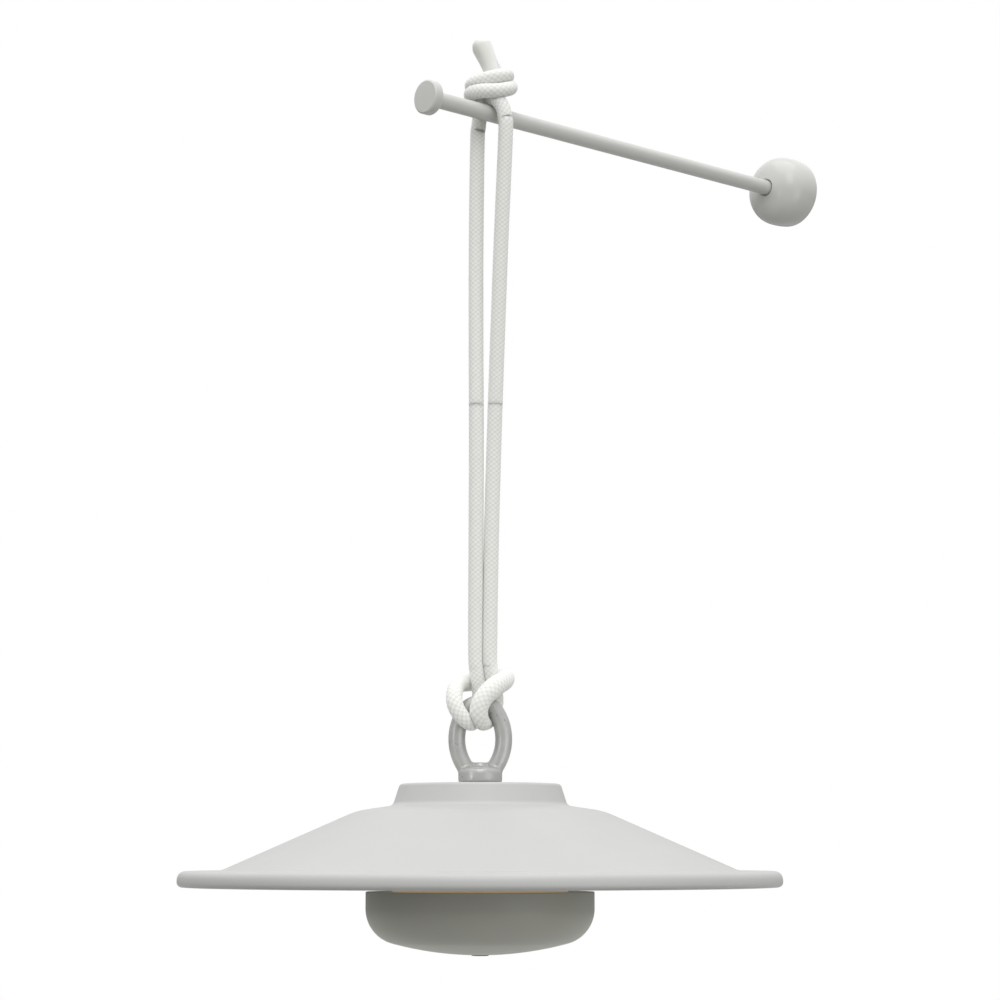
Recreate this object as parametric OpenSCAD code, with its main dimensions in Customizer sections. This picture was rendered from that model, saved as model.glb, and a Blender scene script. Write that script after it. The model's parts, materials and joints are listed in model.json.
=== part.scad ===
// Portable hanging lamp on a wall arm. Millimetres, +Z up.
// The origin is on the wall's surface, on the arm's axis, and the arm runs along -Y.

/* [Wall arm] */
// Distance from the wall to the outer end of the arm
arm_end = 310.5; // [260:0.5:400]
// Diameter of the arm
arm_d = 9.2; // [8.4:0.1:9.6]
// Diameter of the cap on the arm's outer end
cap_d = 19.4; // [14:0.2:26]
// Thickness of that cap
cap_t = 6; // [3:0.5:8]
// Bevel round both faces of the cap
cap_bevel = 0.8; // [0.3:0.1:1.2]
// Widest diameter of the domed wall knob
knob_d = 43.4; // [36:0.2:60]
// Distance of the knob's widest place from the wall
knob_band = 10.2; // [8:0.2:14]
// Depth of the knob's dome in front of its widest place
knob_dome = 16.4; // [13:0.2:24]
// Thickness of the knob's floor, between the wall and the arm's inner end
knob_floor = 8; // [5:0.5:10]
// Diameter of the threads inside the arm
arm_thread_d = 5; // [4:0.1:6]
// Depth to which the hanger bolt screws into the arm
bolt_grip = 13.5; // [8:0.5:20]
// Length of the spigot on the end cap
spigot_len = 10; // [6:0.5:16]
// Diameter of the hanger bolt's thread in the wall
wall_thread_d = 6; // [5:0.5:8]
// Length of that thread from the wall's face to its tip
wall_thread_len = 19; // [15:1:50]
// Bevel on its tip
wall_tip_len = 1; // [0.5:0.1:2]

/* [Hanging] */
// Distance from the arm's outer end back to the lamp's axis
hang_back = 37; // [30:0.5:60]
// Height from the shade's rim to the arm's axis
drop = 437.2; // [400:0.1:600]
// Turn of the lamp's eye about the vertical
view_turn = 47; // [30:1:60]
// Distance of the knot from the lamp's axis, towards the wall
knot_shift = 8; // [6:0.5:10]
// Diameter of the rope's plain tube
rope_d = 7.6; // [6.8:0.1:7.6]
// Wall thickness of the sleeve over the two rope ends
sleeve_t = 0.9; // [0.6:0.1:1.5]
// Length of that sleeve
sleeve_len = 12; // [10:0.5:13]

/* [Shade] */
// Outer diameter of the shade over its rolled edge
shade_d = 330; // [300:1:400]
// Height of the shade's flat crown above the bottom of the rim
shade_h = 56; // [52:0.1:70]
// Thickness of the shade's sheet
sheet_t = 1.5; // [1:0.1:2]
// Diameter of the rolled edge
roll_d = 8.7; // [6:0.1:12]
// Rise of the brim's inner edge over the top of the rolled edge
brim_rise = 0.2; // [0:0.1:2]
// Diameter where the flat brim turns up into the cone
brim_d = 282.8; // [220:0.5:290]
// Diameter where the cone meets the shoulder
shoulder_d = 135.8; // [120:0.5:160]
// Height of that place
shoulder_z = 41.2; // [36:0.1:42]
// Diameter at the foot of the collar
collar_d = 96; // [80:0.5:110]
// Height of the collar's foot
collar_z = 44.2; // [43:0.1:48]
// Diameter of the crown at the top of the collar
crown_d = 88.4; // [76:0.2:94]

/* [Eye] */
// Thickness of the seal under the eye
gasket_t = 0.8; // [0.5:0.1:1.5]
// Diameter of the eye's round foot
foot_d = 24.2; // [20:0.2:30]
// Height of that foot
foot_h = 8.3; // [6:0.1:10]
// Diameter of the eye's bar
bar_d = 9.4; // [8:0.1:10]
// Width of the eye between the centres of its sides
eye_w = 25.9; // [25:0.1:30]
// Height of the eye between the centres of its top and bottom
eye_h = 39.2; // [37:0.1:48]
// Radius of the eye's ends, to the bar's centre
eye_end_r = 10.2; // [9:0.1:12]
// Depth to which the bar's lowest point is sunk below the foot's seat
eye_sink = 0.4; // [0:0.1:2]
// Diameter of the stud under the foot
stud_d = 10; // [8:0.1:12]
// Length of the stud below the foot
stud_len = 18.8; // [14:0.1:24]

/* [Light unit] */
// Outer diameter of the lower housing
unit_d = 125.2; // [121:0.2:150]
// Gap from the shade's rim down to the housing's top edge
unit_gap = 2.5; // [1:0.1:8]
// Height of the housing's straight side
unit_side = 9.1; // [9:0.1:16]
// Radius of the housing's lower corner
unit_corner = 19.5; // [14:0.5:20]
// Wall thickness of the housing
unit_wall = 2; // [1.6:0.1:2.4]
// Thickness of the lid over the housing
lid_t = 2.4; // [2:0.1:3]
// Thickness of the seal under the lid
seal_t = 1.2; // [0.8:0.1:2]
// Thickness of the ledge under that seal
ledge_t = 2; // [1.5:0.1:3]
// Distance of the lid's screws from the axis
lid_screw_r = 52.5; // [51.5:0.1:53.5]
// Diameter of the button under the housing
button_d = 9.4; // [7:0.1:10]
// How far the button stands proud of the housing
button_proud = 0.43; // [0.3:0.01:1]
// Travel of the button
button_travel = 1.2; // [0.4:0.1:1.2]
// Distance of the indicator from the axis
lens_x = 7; // [6.8:0.1:7.5]
// Diameter of the indicator's lens
lens_d = 1.8; // [1.2:0.1:2]

/* [Lamp inside] */
// Outer diameter of the stem tube
stem_d = 16; // [14:0.2:18]
// Diameter of the plate that spreads the load under the crown
hub_d = 60; // [40:1:70]
// Thickness of that plate
hub_t = 2; // [1.5:0.1:3]
// Thickness of the lock washer
washer_t = 1.2; // [0.8:0.1:2]
// Width across the flats of the stem's nut
nut_af = 24; // [21:0.5:25]
// Thickness of that nut
nut_t = 5; // [4:0.1:6]
// Diameter of the diffuser
diffuser_d = 96; // [94:0.5:98]
// Height of the diffuser over the lid
diffuser_h = 27.4; // [20:0.2:30]
// Wall thickness of the diffuser
diffuser_t = 2; // [1.2:0.1:2]
// Diameter of the heat plate
heat_d = 88; // [80:0.5:89]
// Thickness of the heat plate
heat_t = 1.5; // [1:0.1:3]
// Thickness of the circuit boards
board_t = 1.6; // [1:0.1:2]
// Number of light-emitting packages
led_count = 16; // [8:1:24]
// Distance of those packages from the axis
led_r = 34; // [28:0.5:38]
// Diameter of a battery cell
cell_d = 18.4; // [16:0.1:18.6]
// Length of a battery cell
cell_len = 65; // [50:1:66]
// Distance between the two cells' axes
cell_pitch = 44; // [43:0.5:46]
// Thickness of the battery holder's base plate
base_t = 1.4; // [1:0.1:2]
// Gap between the control board and each cell
board_gap = 1.8; // [1.4:0.1:3]

/* [Hidden] */
$fn = 96;
// Radial clearances: a thread or running fit, a close hole and a free hole
run_c = 0.05;
close_c = 0.2;
free_c = 0.3;

// Wall arm: distances t are measured from the wall along the arm
knob_back_power = 2.09;
knob_back_reach = 34.3;
knob_front_power = 2.37;
mouth_out = 1.2;
mouth_depth = 1.2;

// Lamp, measured upwards from the bottom of the shade's rim
lamp_out = arm_end - hang_back;
foot_z = shade_h + gasket_t;
eye_z = foot_z + eye_h / 2 + bar_d / 2 - eye_sink;
eye_top = eye_z + eye_h / 2;
saddle_rise = 2.7;
saddle_d = bar_d - 0.4;
hub_z = shade_h - sheet_t - hub_t;
stem_top = hub_z - washer_t;
washer_d = stem_d + 2;

// Light unit, measured the same way
unit_r = unit_d / 2;
unit_top = -unit_gap;
lid_z = unit_top - 0.2 - lid_t;
lid_top = lid_z + lid_t;
seal_z = lid_z - seal_t;
ledge_z = seal_z - ledge_t;
ledge_w = 3;
lid_r = unit_r - unit_wall - free_c;
corner_z = unit_top - unit_side;
corner_r = unit_r - unit_corner;
corner_turn = 75;
dome_edge_r = corner_r + unit_corner * cos(corner_turn);
dome_r = dome_edge_r / cos(corner_turn);
dome_z = corner_z - unit_corner * sin(corner_turn) + dome_r * sin(corner_turn);
unit_bottom = dome_z - dome_r;
arc_steps = 12;
boss_r = 4;
screw_r = 1.5;
screw_len = 11;
screw_head_r = 2.8;
screw_head_h = 1.6;

// Battery holder and boards
holder_x = 30;
holder_y = 24;
base_z = floor_z(norm([holder_x, holder_y])) + 0.4;
base_cut_r = 9.5;
tongue_y = 32;
holder_screw_y = 28;
cradle_y = 20;
cradle_w = 8;
cradle_h = 7.6;
cell_z = base_z + base_t + 0.1 + cell_d / 2;
board_w = cell_pitch - cell_d - 2 * board_gap;
board_z = cell_z + 2.6;
board_top = board_z + board_t;
rib_y = -14;
rib_w = 3;
board_screw_x = 7.5;
board_screw_ys = [rib_y + rib_w / 2, cradle_y];
small_screw_r = 1;
contact_t = 0.3;
lead_y = 18;
lead_r = 0.6;
lead_x = 0.9;
grommet_r = 2.8;

// Charge port, on the side away from the viewer
port_floor = unit_r - 4.5;
socket_size = [8.94, 7.35, 3.26];
socket_front = port_floor - 1.1;
board_end = socket_front - 5.5;
port_z = board_top + socket_size.z / 2;
slot_size = [10.4, 4.4];
flap_x = 7.2;
flap_t = 3.2;
flap_up = 4.6;
flap_axis_z = port_z - 3.75;
flap_axis_y = port_floor + free_c + flap_t / 2;
flap_inset = 0.3;
pin_r = 0.8;
pin_len = 1.2;
pad_x = 12.5;
pad_depth = 2.6;

// Button
button_hole_r = button_d / 2 + close_c;
button_flange_r = button_hole_r + 0.5;
button_flange_t = 1;
button_z = unit_bottom - button_proud;
flange_z = floor_z(0) + close_c;
switch_size = [6, 6, 3.5];
plunger_h = 1.3;
stem_gap = 0.2;
press_r = 2;
press_top = board_z - switch_size.z - plunger_h - stem_gap - button_travel;

// Rope route. Each point is [along the eye's plane, towards the viewer, up, share of the radius].
// The hitch is measured from the lamp's axis and the centre of the eye's top bar.
hitch = [
  [-2.6, -8, 30.4, 1], [-1.9, -8.6, 18.4, 1], [-0.4, -9.2, 8.4, 1], [-0.9, -8.9, -0.6, 0.97],
  [-2.4, -6.2, -7.2, 0.87], [-3.8, -1.2, -10.8, 0.78], [-5.7, 4.8, -11.3, 0.88],
  [-8.8, 8.8, -9.2, 1.02], [-12.3, 9.8, -4.8, 1.06], [-14.2, 8.4, 0.4, 1.08],
  [-14.2, 4, 5.8, 1.06], [-13, -3.2, 9.4, 1.02], [-10.4, -11.4, 12.2, 1], [-5, -17.2, 13.8, 1],
  [2.6, -18.6, 15.2, 1], [9.2, -17.6, 15.8, 1.05], [13.6, -12.4, 15.2, 1.15],
  [13.4, -5, 13, 1.25], [9.6, 2, 10.2, 1.32], [5.4, 7.2, 6.6, 1.32], [1.6, 9.8, 2, 1.25],
  [-0.6, 10.2, -3, 1.15], [-0.4, 8.4, -7.6, 1.05], [1.6, 4.8, -10.6, 0.9],
  [3.4, 0, -11.2, 0.78], [4.8, -5.6, -9.8, 0.84], [7, -9.4, -6, 0.97], [8.7, -10.8, 0.4, 1],
  [8.2, -10.2, 7.6, 1], [6.4, -9.2, 14.4, 1], [5.5, -8.4, 21.4, 1], [5.2, -8, 30.4, 1]
];
// The knot is measured from its own axis and the arm's axis, upwards along each rope end.
knot_rear = [
  [-7.8, -8.4, -14, 1], [-7.2, -8.2, -6, 1], [-6.4, -7.4, 1, 1], [-5, -5.4, 7.4, 1],
  [-3, -2.4, 14, 1], [0.2, -5, 20.4, 1], [-0.4, -10.2, 21.6, 1], [-5, -11, 19.6, 1],
  [-9.4, -7.4, 18, 1], [-11, -2.4, 17.4, 1], [-9, 2.8, 17.8, 1], [-4.2, 6.6, 18.4, 1],
  [0.8, 8.2, 19.2, 1], [5.4, 7.2, 20.4, 1], [8.6, 3.6, 22, 1], [8.8, -1.2, 23.6, 1],
  [6, -3, 25.6, 1], [3, 0.2, 27.4, 1], [-1, 3.7, 30, 1], [-2.5, 3.9, 34.2, 1],
  [-5, 3.9, 40.8, 1]
];
knot_front = [
  [8.2, 8.6, -14, 1], [7.9, 8.4, -5, 1], [6.4, 7.8, 2, 1], [3.4, 5.8, 6.6, 1],
  [1, 1, 8.9, 1], [3.6, -5.2, 13.2, 1], [3.4, -11, 14.4, 1], [-2.2, -12.8, 13.4, 1],
  [-8.4, -9.6, 12.6, 1], [-11.4, -3.8, 12.2, 1], [-10.4, 2.4, 12, 1], [-6.4, 7.4, 11.4, 1],
  [-1, 10.2, 10.8, 1], [4.2, 10, 11, 1], [8.6, 7.2, 12.6, 1], [11, 1.8, 15.2, 1],
  [9, -3.6, 18.2, 1], [4.6, -5, 22.8, 1], [0.8, -4.2, 27.4, 1], [-1.1, -3.9, 30.5, 1],
  [-2.5, -3.9, 34.2, 1], [-5, -3.9, 40.8, 1]
];
// The strands between them: [share of the height, along the eye's plane, towards the viewer]
strand_rear = [[0.2, -2.5, -8], [0.4, -2.35, -8.3], [0.6, -2.6, -9.5], [0.8, -2.6, -11.5]];
strand_front = [[0.2, 6.1, -8], [0.4, 7.6, -7.3], [0.6, 9.5, -4.8], [0.8, 11.6, -1.2]];
rope_sides = 8;
// Hairline gap where a strand meets the knot's or the hitch's rope
strand_gap = 0.03;
sleeve_lean = 20;
sleeve_z = 30.9;
sleeve_x = -1.34;
tail_y = 3.9;

// Points on an arc in a profile, from one angle to another
function arc(cx, cz, r, from, to, steps = arc_steps) =
  [for (i = [0:steps]) let (a = from + (to - from) * i / steps) [cx + r * cos(a), cz + r * sin(a)]];

// A corner b of the path a, b, c rounded to a radius
function rounded_corner(a, b, c, r, steps = 8) =
  let (
    u = (a - b) / norm(a - b),
    v = (c - b) / norm(c - b),
    half = acos(u * v) / 2,
    centre = b + (u + v) / norm(u + v) * r / sin(half),
    p = b + u * r / tan(half) - centre,
    q = b + v * r / tan(half) - centre,
    a0 = atan2(p.y, p.x),
    a1 = atan2(q.y, q.x),
    turn = a1 - a0 > 180 ? a1 - a0 - 360 : (a1 - a0 < -180 ? a1 - a0 + 360 : a1 - a0)
  )
  arc(centre.x, centre.y, r, a0, a0 + turn, steps);

// The same path moved sideways by a wall's thickness, to its right
function moved_path(p, t) = [
  for (i = [0:len(p) - 1])
    let (
      before = p[max(i - 1, 0)],
      after = p[min(i + 1, len(p) - 1)],
      d1 = i == 0 ? after - p[i] : p[i] - before,
      d2 = i == len(p) - 1 ? p[i] - before : after - p[i],
      n1 = [d1.y, -d1.x] / norm(d1),
      n2 = [d2.y, -d2.x] / norm(d2),
      n = (n1 + n2) / norm(n1 + n2)
    )
    p[i] + n * t / (n * n1)
];

function reversed(p) = [for (i = [len(p) - 1:-1:0]) p[i]];

// Height of the housing's inner floor at a radius
function floor_z(r) = dome_z - sqrt((dome_r - unit_wall) ^ 2 - r ^ 2);

// Radius of the wall knob at a distance from the wall
function knob_radius(t) =
  t < knob_band
    ? knob_d / 2 * (1 - ((knob_band - t) / knob_back_reach) ^ knob_back_power) ^ (1 / knob_back_power)
    : knob_d / 2 * (1 - ((t - knob_band) / knob_dome) ^ knob_front_power) ^ (1 / knob_front_power);

// Distance from the wall of the dome at a radius
function knob_depth(r) =
  knob_band + knob_dome * (1 - (2 * r / knob_d) ^ knob_front_power) ^ (1 / knob_front_power);

// Places of the rope's points in the lamp's frame and the knot's frame
function turned(u, v) = [u * cos(view_turn) + v * sin(view_turn), u * sin(view_turn) - v * cos(view_turn)];
function at_lamp(u, v, z, share) = let (q = turned(u, v)) [q.x, q.y - lamp_out, z - drop, share];
function at_knot(p) =
  let (q = turned(p[0], p[1])) [q.x, q.y - lamp_out + knot_shift, p[2], p[3]];
function at_hitch(p) = at_lamp(p[0], p[1], p[2] + eye_top, p[3]);
strand_low = eye_top + hitch[0][2];
strand_high = drop + knot_rear[0][2];
function at_strand(p) =
  at_lamp(p[1], p[2], strand_low + (strand_high - strand_low) * p[0], 1);

rope_route = concat(
  [for (p = reversed(knot_rear)) at_knot(p)],
  [for (p = reversed(strand_rear)) at_strand(p)],
  [for (p = hitch) at_hitch(p)],
  [for (p = strand_front) at_strand(p)],
  [for (p = knot_front) at_knot(p)]
);
knot_last = len(knot_rear) - 1;
hitch_first = knot_last + len(strand_rear) + 1;
hitch_last = hitch_first + len(hitch) - 1;
front_first = hitch_last + len(strand_front) + 1;

// Directions along the route, and side vectors carried along it without twist
function place(p) = [p.x, p.y, p.z];
function unit(v) = v / norm(v);
function square_to(n, t) = unit(n - (n * t) * t);
route_t = [
  for (i = [0:len(rope_route) - 1])
    unit(place(rope_route[min(i + 1, len(rope_route) - 1)]) - place(rope_route[max(i - 1, 0)]))
];
route_n = [
  for (
    i = 0, n = square_to([1, 0, 0], route_t[0]);
    i < len(rope_route);
    i = i + 1, n = i < len(rope_route) ? square_to(n, route_t[i]) : n
  )
    n
];

// A stretch of the rope's tube, from one ring of the route to another, its ends drawn in by a gap
module rope(first, last, gap = 0) {
  count = last - first + 1;
  points = [
    for (i = [first:last], k = [0:rope_sides - 1])
      let (
        a = 360 * k / rope_sides,
        side = cross(route_t[i], route_n[i]),
        r = rope_d / 2 * rope_route[i][3],
        drawn = i == first ? gap : (i == last ? -gap : 0)
      )
      place(rope_route[i]) + drawn * route_t[i] + r * (cos(a) * route_n[i] + sin(a) * side)
  ];
  start = [[for (k = [0:rope_sides - 1]) k]];
  end = [[for (k = [rope_sides - 1:-1:0]) (count - 1) * rope_sides + k]];
  walls = [
    for (i = [0:count - 2], k = [0:rope_sides - 1])
      let (
        a = i * rope_sides + k,
        b = i * rope_sides + (k + 1) % rope_sides
      )
      each [[a, a + rope_sides, b], [b, a + rope_sides, b + rope_sides]]
  ];
  polyhedron(points = points, faces = concat(start, walls, end));
}

module on_lamp() {
  translate([0, -lamp_out, -drop]) rotate([0, 0, view_turn]) children();
}

// A shape turned so that its +Z runs out from the wall along the arm
module along_arm() {
  rotate([90, 0, 0]) children();
}

module ring(r_out, r_in, z, h) {
  translate([0, 0, z]) difference() {
    cylinder(r = r_out, h = h);
    translate([0, 0, -1]) cylinder(r = r_in, h = h + 2);
  }
}

module wall_knob() {
  mouth_r = arm_d / 2 + mouth_out;
  mouth_t = knob_depth(mouth_r);
  bore_r = arm_d / 2 + run_c;
  hole_r = wall_thread_d / 2 + close_c;
  back = [for (i = [0:6]) let (t = knob_band * i / 6) [knob_radius(t), t]];
  // Equal steps of an angle keep the dome's rings even up to its nose
  nose = [
    for (i = [1:18])
      let (r = mouth_r + (knob_d / 2 - mouth_r) * cos(90 * i / 18)) [r, knob_depth(r)]
  ];
  color("white") along_arm() rotate_extrude() polygon(concat(
    [[hole_r, 0]],
    back,
    nose,
    [
      [bore_r, mouth_t - mouth_depth],
      [bore_r, knob_floor],
      [hole_r, knob_floor]
    ]
  ));
}

module arm_rod() {
  color("gainsboro") along_arm() difference() {
    translate([0, 0, knob_floor]) cylinder(d = arm_d, h = arm_end - knob_floor);
    translate([0, 0, knob_floor - 1])
      cylinder(r = arm_thread_d / 2 + run_c, h = bolt_grip + 1.5);
    translate([0, 0, arm_end - spigot_len - 1])
      cylinder(r = arm_thread_d / 2 + run_c, h = spigot_len + 2);
  }
}

module end_cap() {
  color("gainsboro") along_arm() translate([0, 0, arm_end]) {
    rotate_extrude() polygon([
      [0, 0],
      [cap_d / 2 - cap_bevel, 0],
      [cap_d / 2, cap_bevel],
      [cap_d / 2, cap_t - cap_bevel],
      [cap_d / 2 - cap_bevel, cap_t],
      [0, cap_t]
    ]);
    translate([0, 0, -spigot_len]) cylinder(d = arm_thread_d, h = spigot_len);
  }
}

module hanger_bolt() {
  color("silver") along_arm() rotate_extrude() polygon([
    [0, knob_floor + bolt_grip],
    [0, -wall_thread_len],
    [wall_thread_d / 2 - wall_tip_len, -wall_thread_len],
    [wall_thread_d / 2, wall_tip_len - wall_thread_len],
    [wall_thread_d / 2, 0],
    [arm_thread_d / 2, 0],
    [arm_thread_d / 2, knob_floor + bolt_grip]
  ]);
}

module rope_knot() {
  color("whitesmoke") {
    rope(0, knot_last);
    rope(front_first, len(rope_route) - 1);
  }
}

module rope_rear_strand() {
  color("whitesmoke") rope(knot_last, hitch_first, strand_gap);
}

module rope_front_strand() {
  color("whitesmoke") rope(hitch_last, front_first, strand_gap);
}

module ring_hitch() {
  color("whitesmoke") rope(hitch_first, hitch_last);
}

module oval(r) {
  for (y = [-tail_y, tail_y]) translate([0, y]) circle(r = r);
  square([2 * r, 2 * tail_y], center = true);
}

module rope_end_sleeve() {
  inner_r = rope_d / 2 + free_c;
  color("whitesmoke")
    translate([0, knot_shift - lamp_out, 0])
      rotate([0, 0, view_turn])
        translate([sleeve_x, 0, sleeve_z])
          rotate([0, -sleeve_lean, 0])
            difference() {
              linear_extrude(sleeve_len) oval(inner_r + sleeve_t);
              translate([0, 0, -1]) linear_extrude(sleeve_len + 1 - sleeve_t) oval(inner_r);
            }
}

// Rings along one arc of the eye's centreline: [across, up, the way out of the arc]
function eye_arc(cx, cz, r, from, to, steps) = [
  for (i = [0:steps - 1])
    let (a = from + (to - from) * i / steps)
    [cx + r * cos(a), cz + r * sin(a), a]
];

// The eye's bar: a round bar carried along an oval of four arcs
module eye_bar() {
  half_w = eye_w / 2;
  half_h = eye_h / 2;
  end_z = half_h - eye_end_r;
  narrow = half_w - eye_end_r;
  side_x = (end_z ^ 2 - narrow ^ 2) / (2 * narrow);
  side_r = side_x + half_w;
  turn = atan2(end_z, side_x);
  line = concat(
    eye_arc(-side_x, 0, side_r, -turn, turn, 10),
    eye_arc(0, end_z, eye_end_r, turn, 180 - turn, 16),
    eye_arc(side_x, 0, side_r, 180 - turn, 180 + turn, 10),
    eye_arc(0, -end_z, eye_end_r, 180 + turn, 360 - turn, 16)
  );
  sides = 20;
  rings = len(line);
  points = [
    for (p = line, k = [0:sides - 1])
      let (b = 360 * k / sides, out = bar_d / 2 * cos(b))
      [p[0] + out * cos(p[2]), bar_d / 2 * sin(b), p[1] + out * sin(p[2])]
  ];
  faces = [
    for (i = [0:rings - 1], k = [0:sides - 1])
      let (
        a = i * sides + k,
        b = i * sides + (k + 1) % sides,
        next = (i + 1) % rings * sides - i * sides
      )
      each [[a, a + next, b], [b, a + next, b + next]]
  ];
  polyhedron(points = points, faces = faces);
}

module eye_ring() {
  color("silver") on_lamp() {
    intersection() {
      translate([0, 0, eye_z]) eye_bar();
      translate([-eye_w, -eye_w, foot_z]) cube([2 * eye_w, 2 * eye_w, 2 * eye_h]);
    }
    translate([0, 0, foot_z]) cylinder(d = foot_d, h = foot_h);
    translate([0, 0, foot_z]) cylinder(d = saddle_d, h = foot_h + saddle_rise);
    translate([0, 0, foot_z - stud_len]) cylinder(d = stud_d, h = stud_len + 1);
  }
}

module eye_gasket() {
  color("dimgray") on_lamp() ring(foot_d / 2 - 1, stud_d / 2 + close_c, shade_h, gasket_t);
}

// The shade's outer line: from the brim over the rolled edge up to the hole in the crown
function shade_line() =
  let (
    edge = [shade_d / 2 - roll_d / 2, roll_d],
    brim = [brim_d / 2, roll_d + brim_rise],
    shoulder = [shoulder_d / 2, shoulder_z],
    foot = [collar_d / 2, collar_z],
    crown = [crown_d / 2, shade_h],
    hole = [stud_d / 2 + close_c, shade_h]
  )
  concat(
    arc(edge.x, roll_d / 2, roll_d / 2, -200, 90, 24),
    rounded_corner(edge, brim, shoulder, 10),
    rounded_corner(brim, shoulder, foot, 40),
    rounded_corner(shoulder, foot, crown, 3),
    rounded_corner(foot, crown, hole, 2),
    [hole]
  );

module shade() {
  // The rolled edge is a thinner, open curl, so its wall is worked out with the rest
  line = shade_line();
  color("white") on_lamp() rotate_extrude($fn = 180)
    polygon(concat(line, reversed(moved_path(line, -sheet_t))));
}

module hub_plate() {
  color("silver") on_lamp() ring(hub_d / 2, stud_d / 2 + close_c, hub_z, hub_t);
}

module lock_washer() {
  color("silver") on_lamp() ring(washer_d / 2, stud_d / 2 + close_c, stem_top, washer_t);
}

module stem_tube() {
  flange_r = stem_d / 2 + 3;
  flange_t = 2.5;
  nut_room = nut_t + 2.7;
  color("silver") on_lamp() difference() {
    union() {
      translate([0, 0, lid_z - nut_room]) cylinder(d = stem_d, h = stem_top - lid_z + nut_room);
      translate([0, 0, lid_top]) cylinder(r = flange_r, h = flange_t);
    }
    translate([0, 0, lid_z - nut_room - 1])
      cylinder(r = stud_d / 2 + run_c, h = stem_top - lid_z + nut_room + 2);
  }
}

module stem_nut() {
  color("silver") on_lamp() translate([0, 0, lid_z - nut_t]) difference() {
    cylinder(d = nut_af / cos(30), h = nut_t, $fn = 6);
    translate([0, 0, -1]) cylinder(r = stem_d / 2 + run_c, h = nut_t + 2);
  }
}

// The housing's outer line from its top edge down to the axis, with its corner and dome
function unit_line(inset) = concat(
  [[unit_r - inset, unit_top]],
  arc(corner_r, corner_z, unit_corner - inset, 0, -corner_turn),
  arc(0, dome_z, dome_r - inset, -corner_turn - (90 - corner_turn) / 6, -90, 5)
);

module unit_solid(inset) {
  rotate_extrude($fn = 180) polygon(concat([[0, unit_top]], unit_line(inset)));
}

module at_lid_screws() {
  for (a = [45:90:315]) rotate([0, 0, a]) translate([lid_screw_r, 0, 0]) children();
}

module housing_shell() {
  inner_r = unit_r - unit_wall;
  boss_bottom = unit_bottom;
  pocket_low = flap_axis_z - flap_t / 2 - free_c;
  pocket_high = port_z + flap_up + free_c;
  color("gray") on_lamp() difference() {
    union() {
      rotate_extrude($fn = 180)
        polygon(concat(unit_line(0), reversed(unit_line(unit_wall))));
      ring(inner_r + unit_wall / 2, inner_r - ledge_w, ledge_z, ledge_t);
      intersection() {
        unit_solid(unit_wall / 2);
        union() {
          at_lid_screws() translate([0, 0, boss_bottom]) cylinder(r = boss_r, h = lid_z - boss_bottom);
          for (y = [-holder_screw_y, holder_screw_y])
            translate([0, y, boss_bottom]) cylinder(r = 3.2, h = base_z - boss_bottom);
          for (x = [-1, 1], y = [-1, 1])
            translate([x * (holder_x - 6), y * (holder_y - 6), boss_bottom])
              cylinder(r = 2.5, h = base_z - boss_bottom);
        }
      }
      intersection() {
        unit_solid(0);
        translate([-pad_x, port_floor - pad_depth, pocket_low - 2])
          cube([2 * pad_x, 20, ledge_z + 1 - pocket_low + 2]);
      }
    }
    at_lid_screws() translate([0, 0, lid_z - screw_len]) cylinder(r = screw_r + run_c, h = screw_len + 1);
    for (y = [-holder_screw_y, holder_screw_y])
      translate([0, y, base_z - 2.8]) cylinder(r = 1.3, h = 4);
    translate([-flap_x - free_c, port_floor, pocket_low])
      cube([2 * (flap_x + free_c), 20, pocket_high - pocket_low]);
    translate([-slot_size.x / 2, port_floor - pad_depth - 1, port_z - slot_size.y / 2])
      cube([slot_size.x, pad_depth + 2, slot_size.y]);
    translate([-flap_x - pin_len - close_c, flap_axis_y, flap_axis_z])
      rotate([0, 90, 0]) cylinder(r = pin_r + run_c, h = 2 * (flap_x + pin_len + close_c), $fn = 32);
    translate([0, 0, unit_bottom - 1]) cylinder(r = button_hole_r, h = unit_wall + 3);
    translate([lens_x, 0, unit_bottom - 1]) cylinder(r = lens_d / 2 + run_c, h = unit_wall + 3);
  }
}

module housing_seal() {
  inner_r = unit_r - unit_wall;
  color("dimgray") on_lamp() ring(inner_r - 0.4, inner_r - ledge_w + 0.2, seal_z, seal_t);
}

module lid() {
  color("silver") on_lamp() difference() {
    translate([0, 0, lid_z]) cylinder(r = lid_r, h = lid_t);
    translate([0, 0, lid_z - 1]) cylinder(r = stem_d / 2 + close_c, h = lid_t + 2);
    translate([0, lead_y, lid_z - 1]) cylinder(r = grommet_r, h = lid_t + 2, $fn = 48);
    at_lid_screws() {
      translate([0, 0, lid_z - 1]) cylinder(r = screw_r + close_c, h = lid_t + 2, $fn = 32);
      translate([0, 0, lid_top - screw_head_h])
        cylinder(r1 = screw_r + close_c, r2 = screw_head_r + close_c, h = screw_head_h, $fn = 32);
    }
  }
}

module lid_screws() {
  color("silver") on_lamp() at_lid_screws() {
    translate([0, 0, lid_top - screw_head_h])
      cylinder(r1 = screw_r, r2 = screw_head_r, h = screw_head_h, $fn = 32);
    translate([0, 0, lid_top - screw_len]) cylinder(r = screw_r, h = screw_len - screw_head_h / 2, $fn = 32);
  }
}

module heat_plate() {
  color("silver") on_lamp() difference() {
    ring(heat_d / 2, stem_d / 2 + 4, lid_top, heat_t);
    translate([0, lead_y, lid_top - 1]) cylinder(r = grommet_r + 1.4, h = heat_t + 2, $fn = 48);
  }
}

module led_board() {
  color("white") on_lamp() difference() {
    ring(heat_d / 2 - 1, stem_d / 2 + 4, lid_top + heat_t, board_t);
    translate([0, lead_y, lid_top + heat_t - 1]) cylinder(r = 2, h = board_t + 2, $fn = 48);
  }
}

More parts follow.
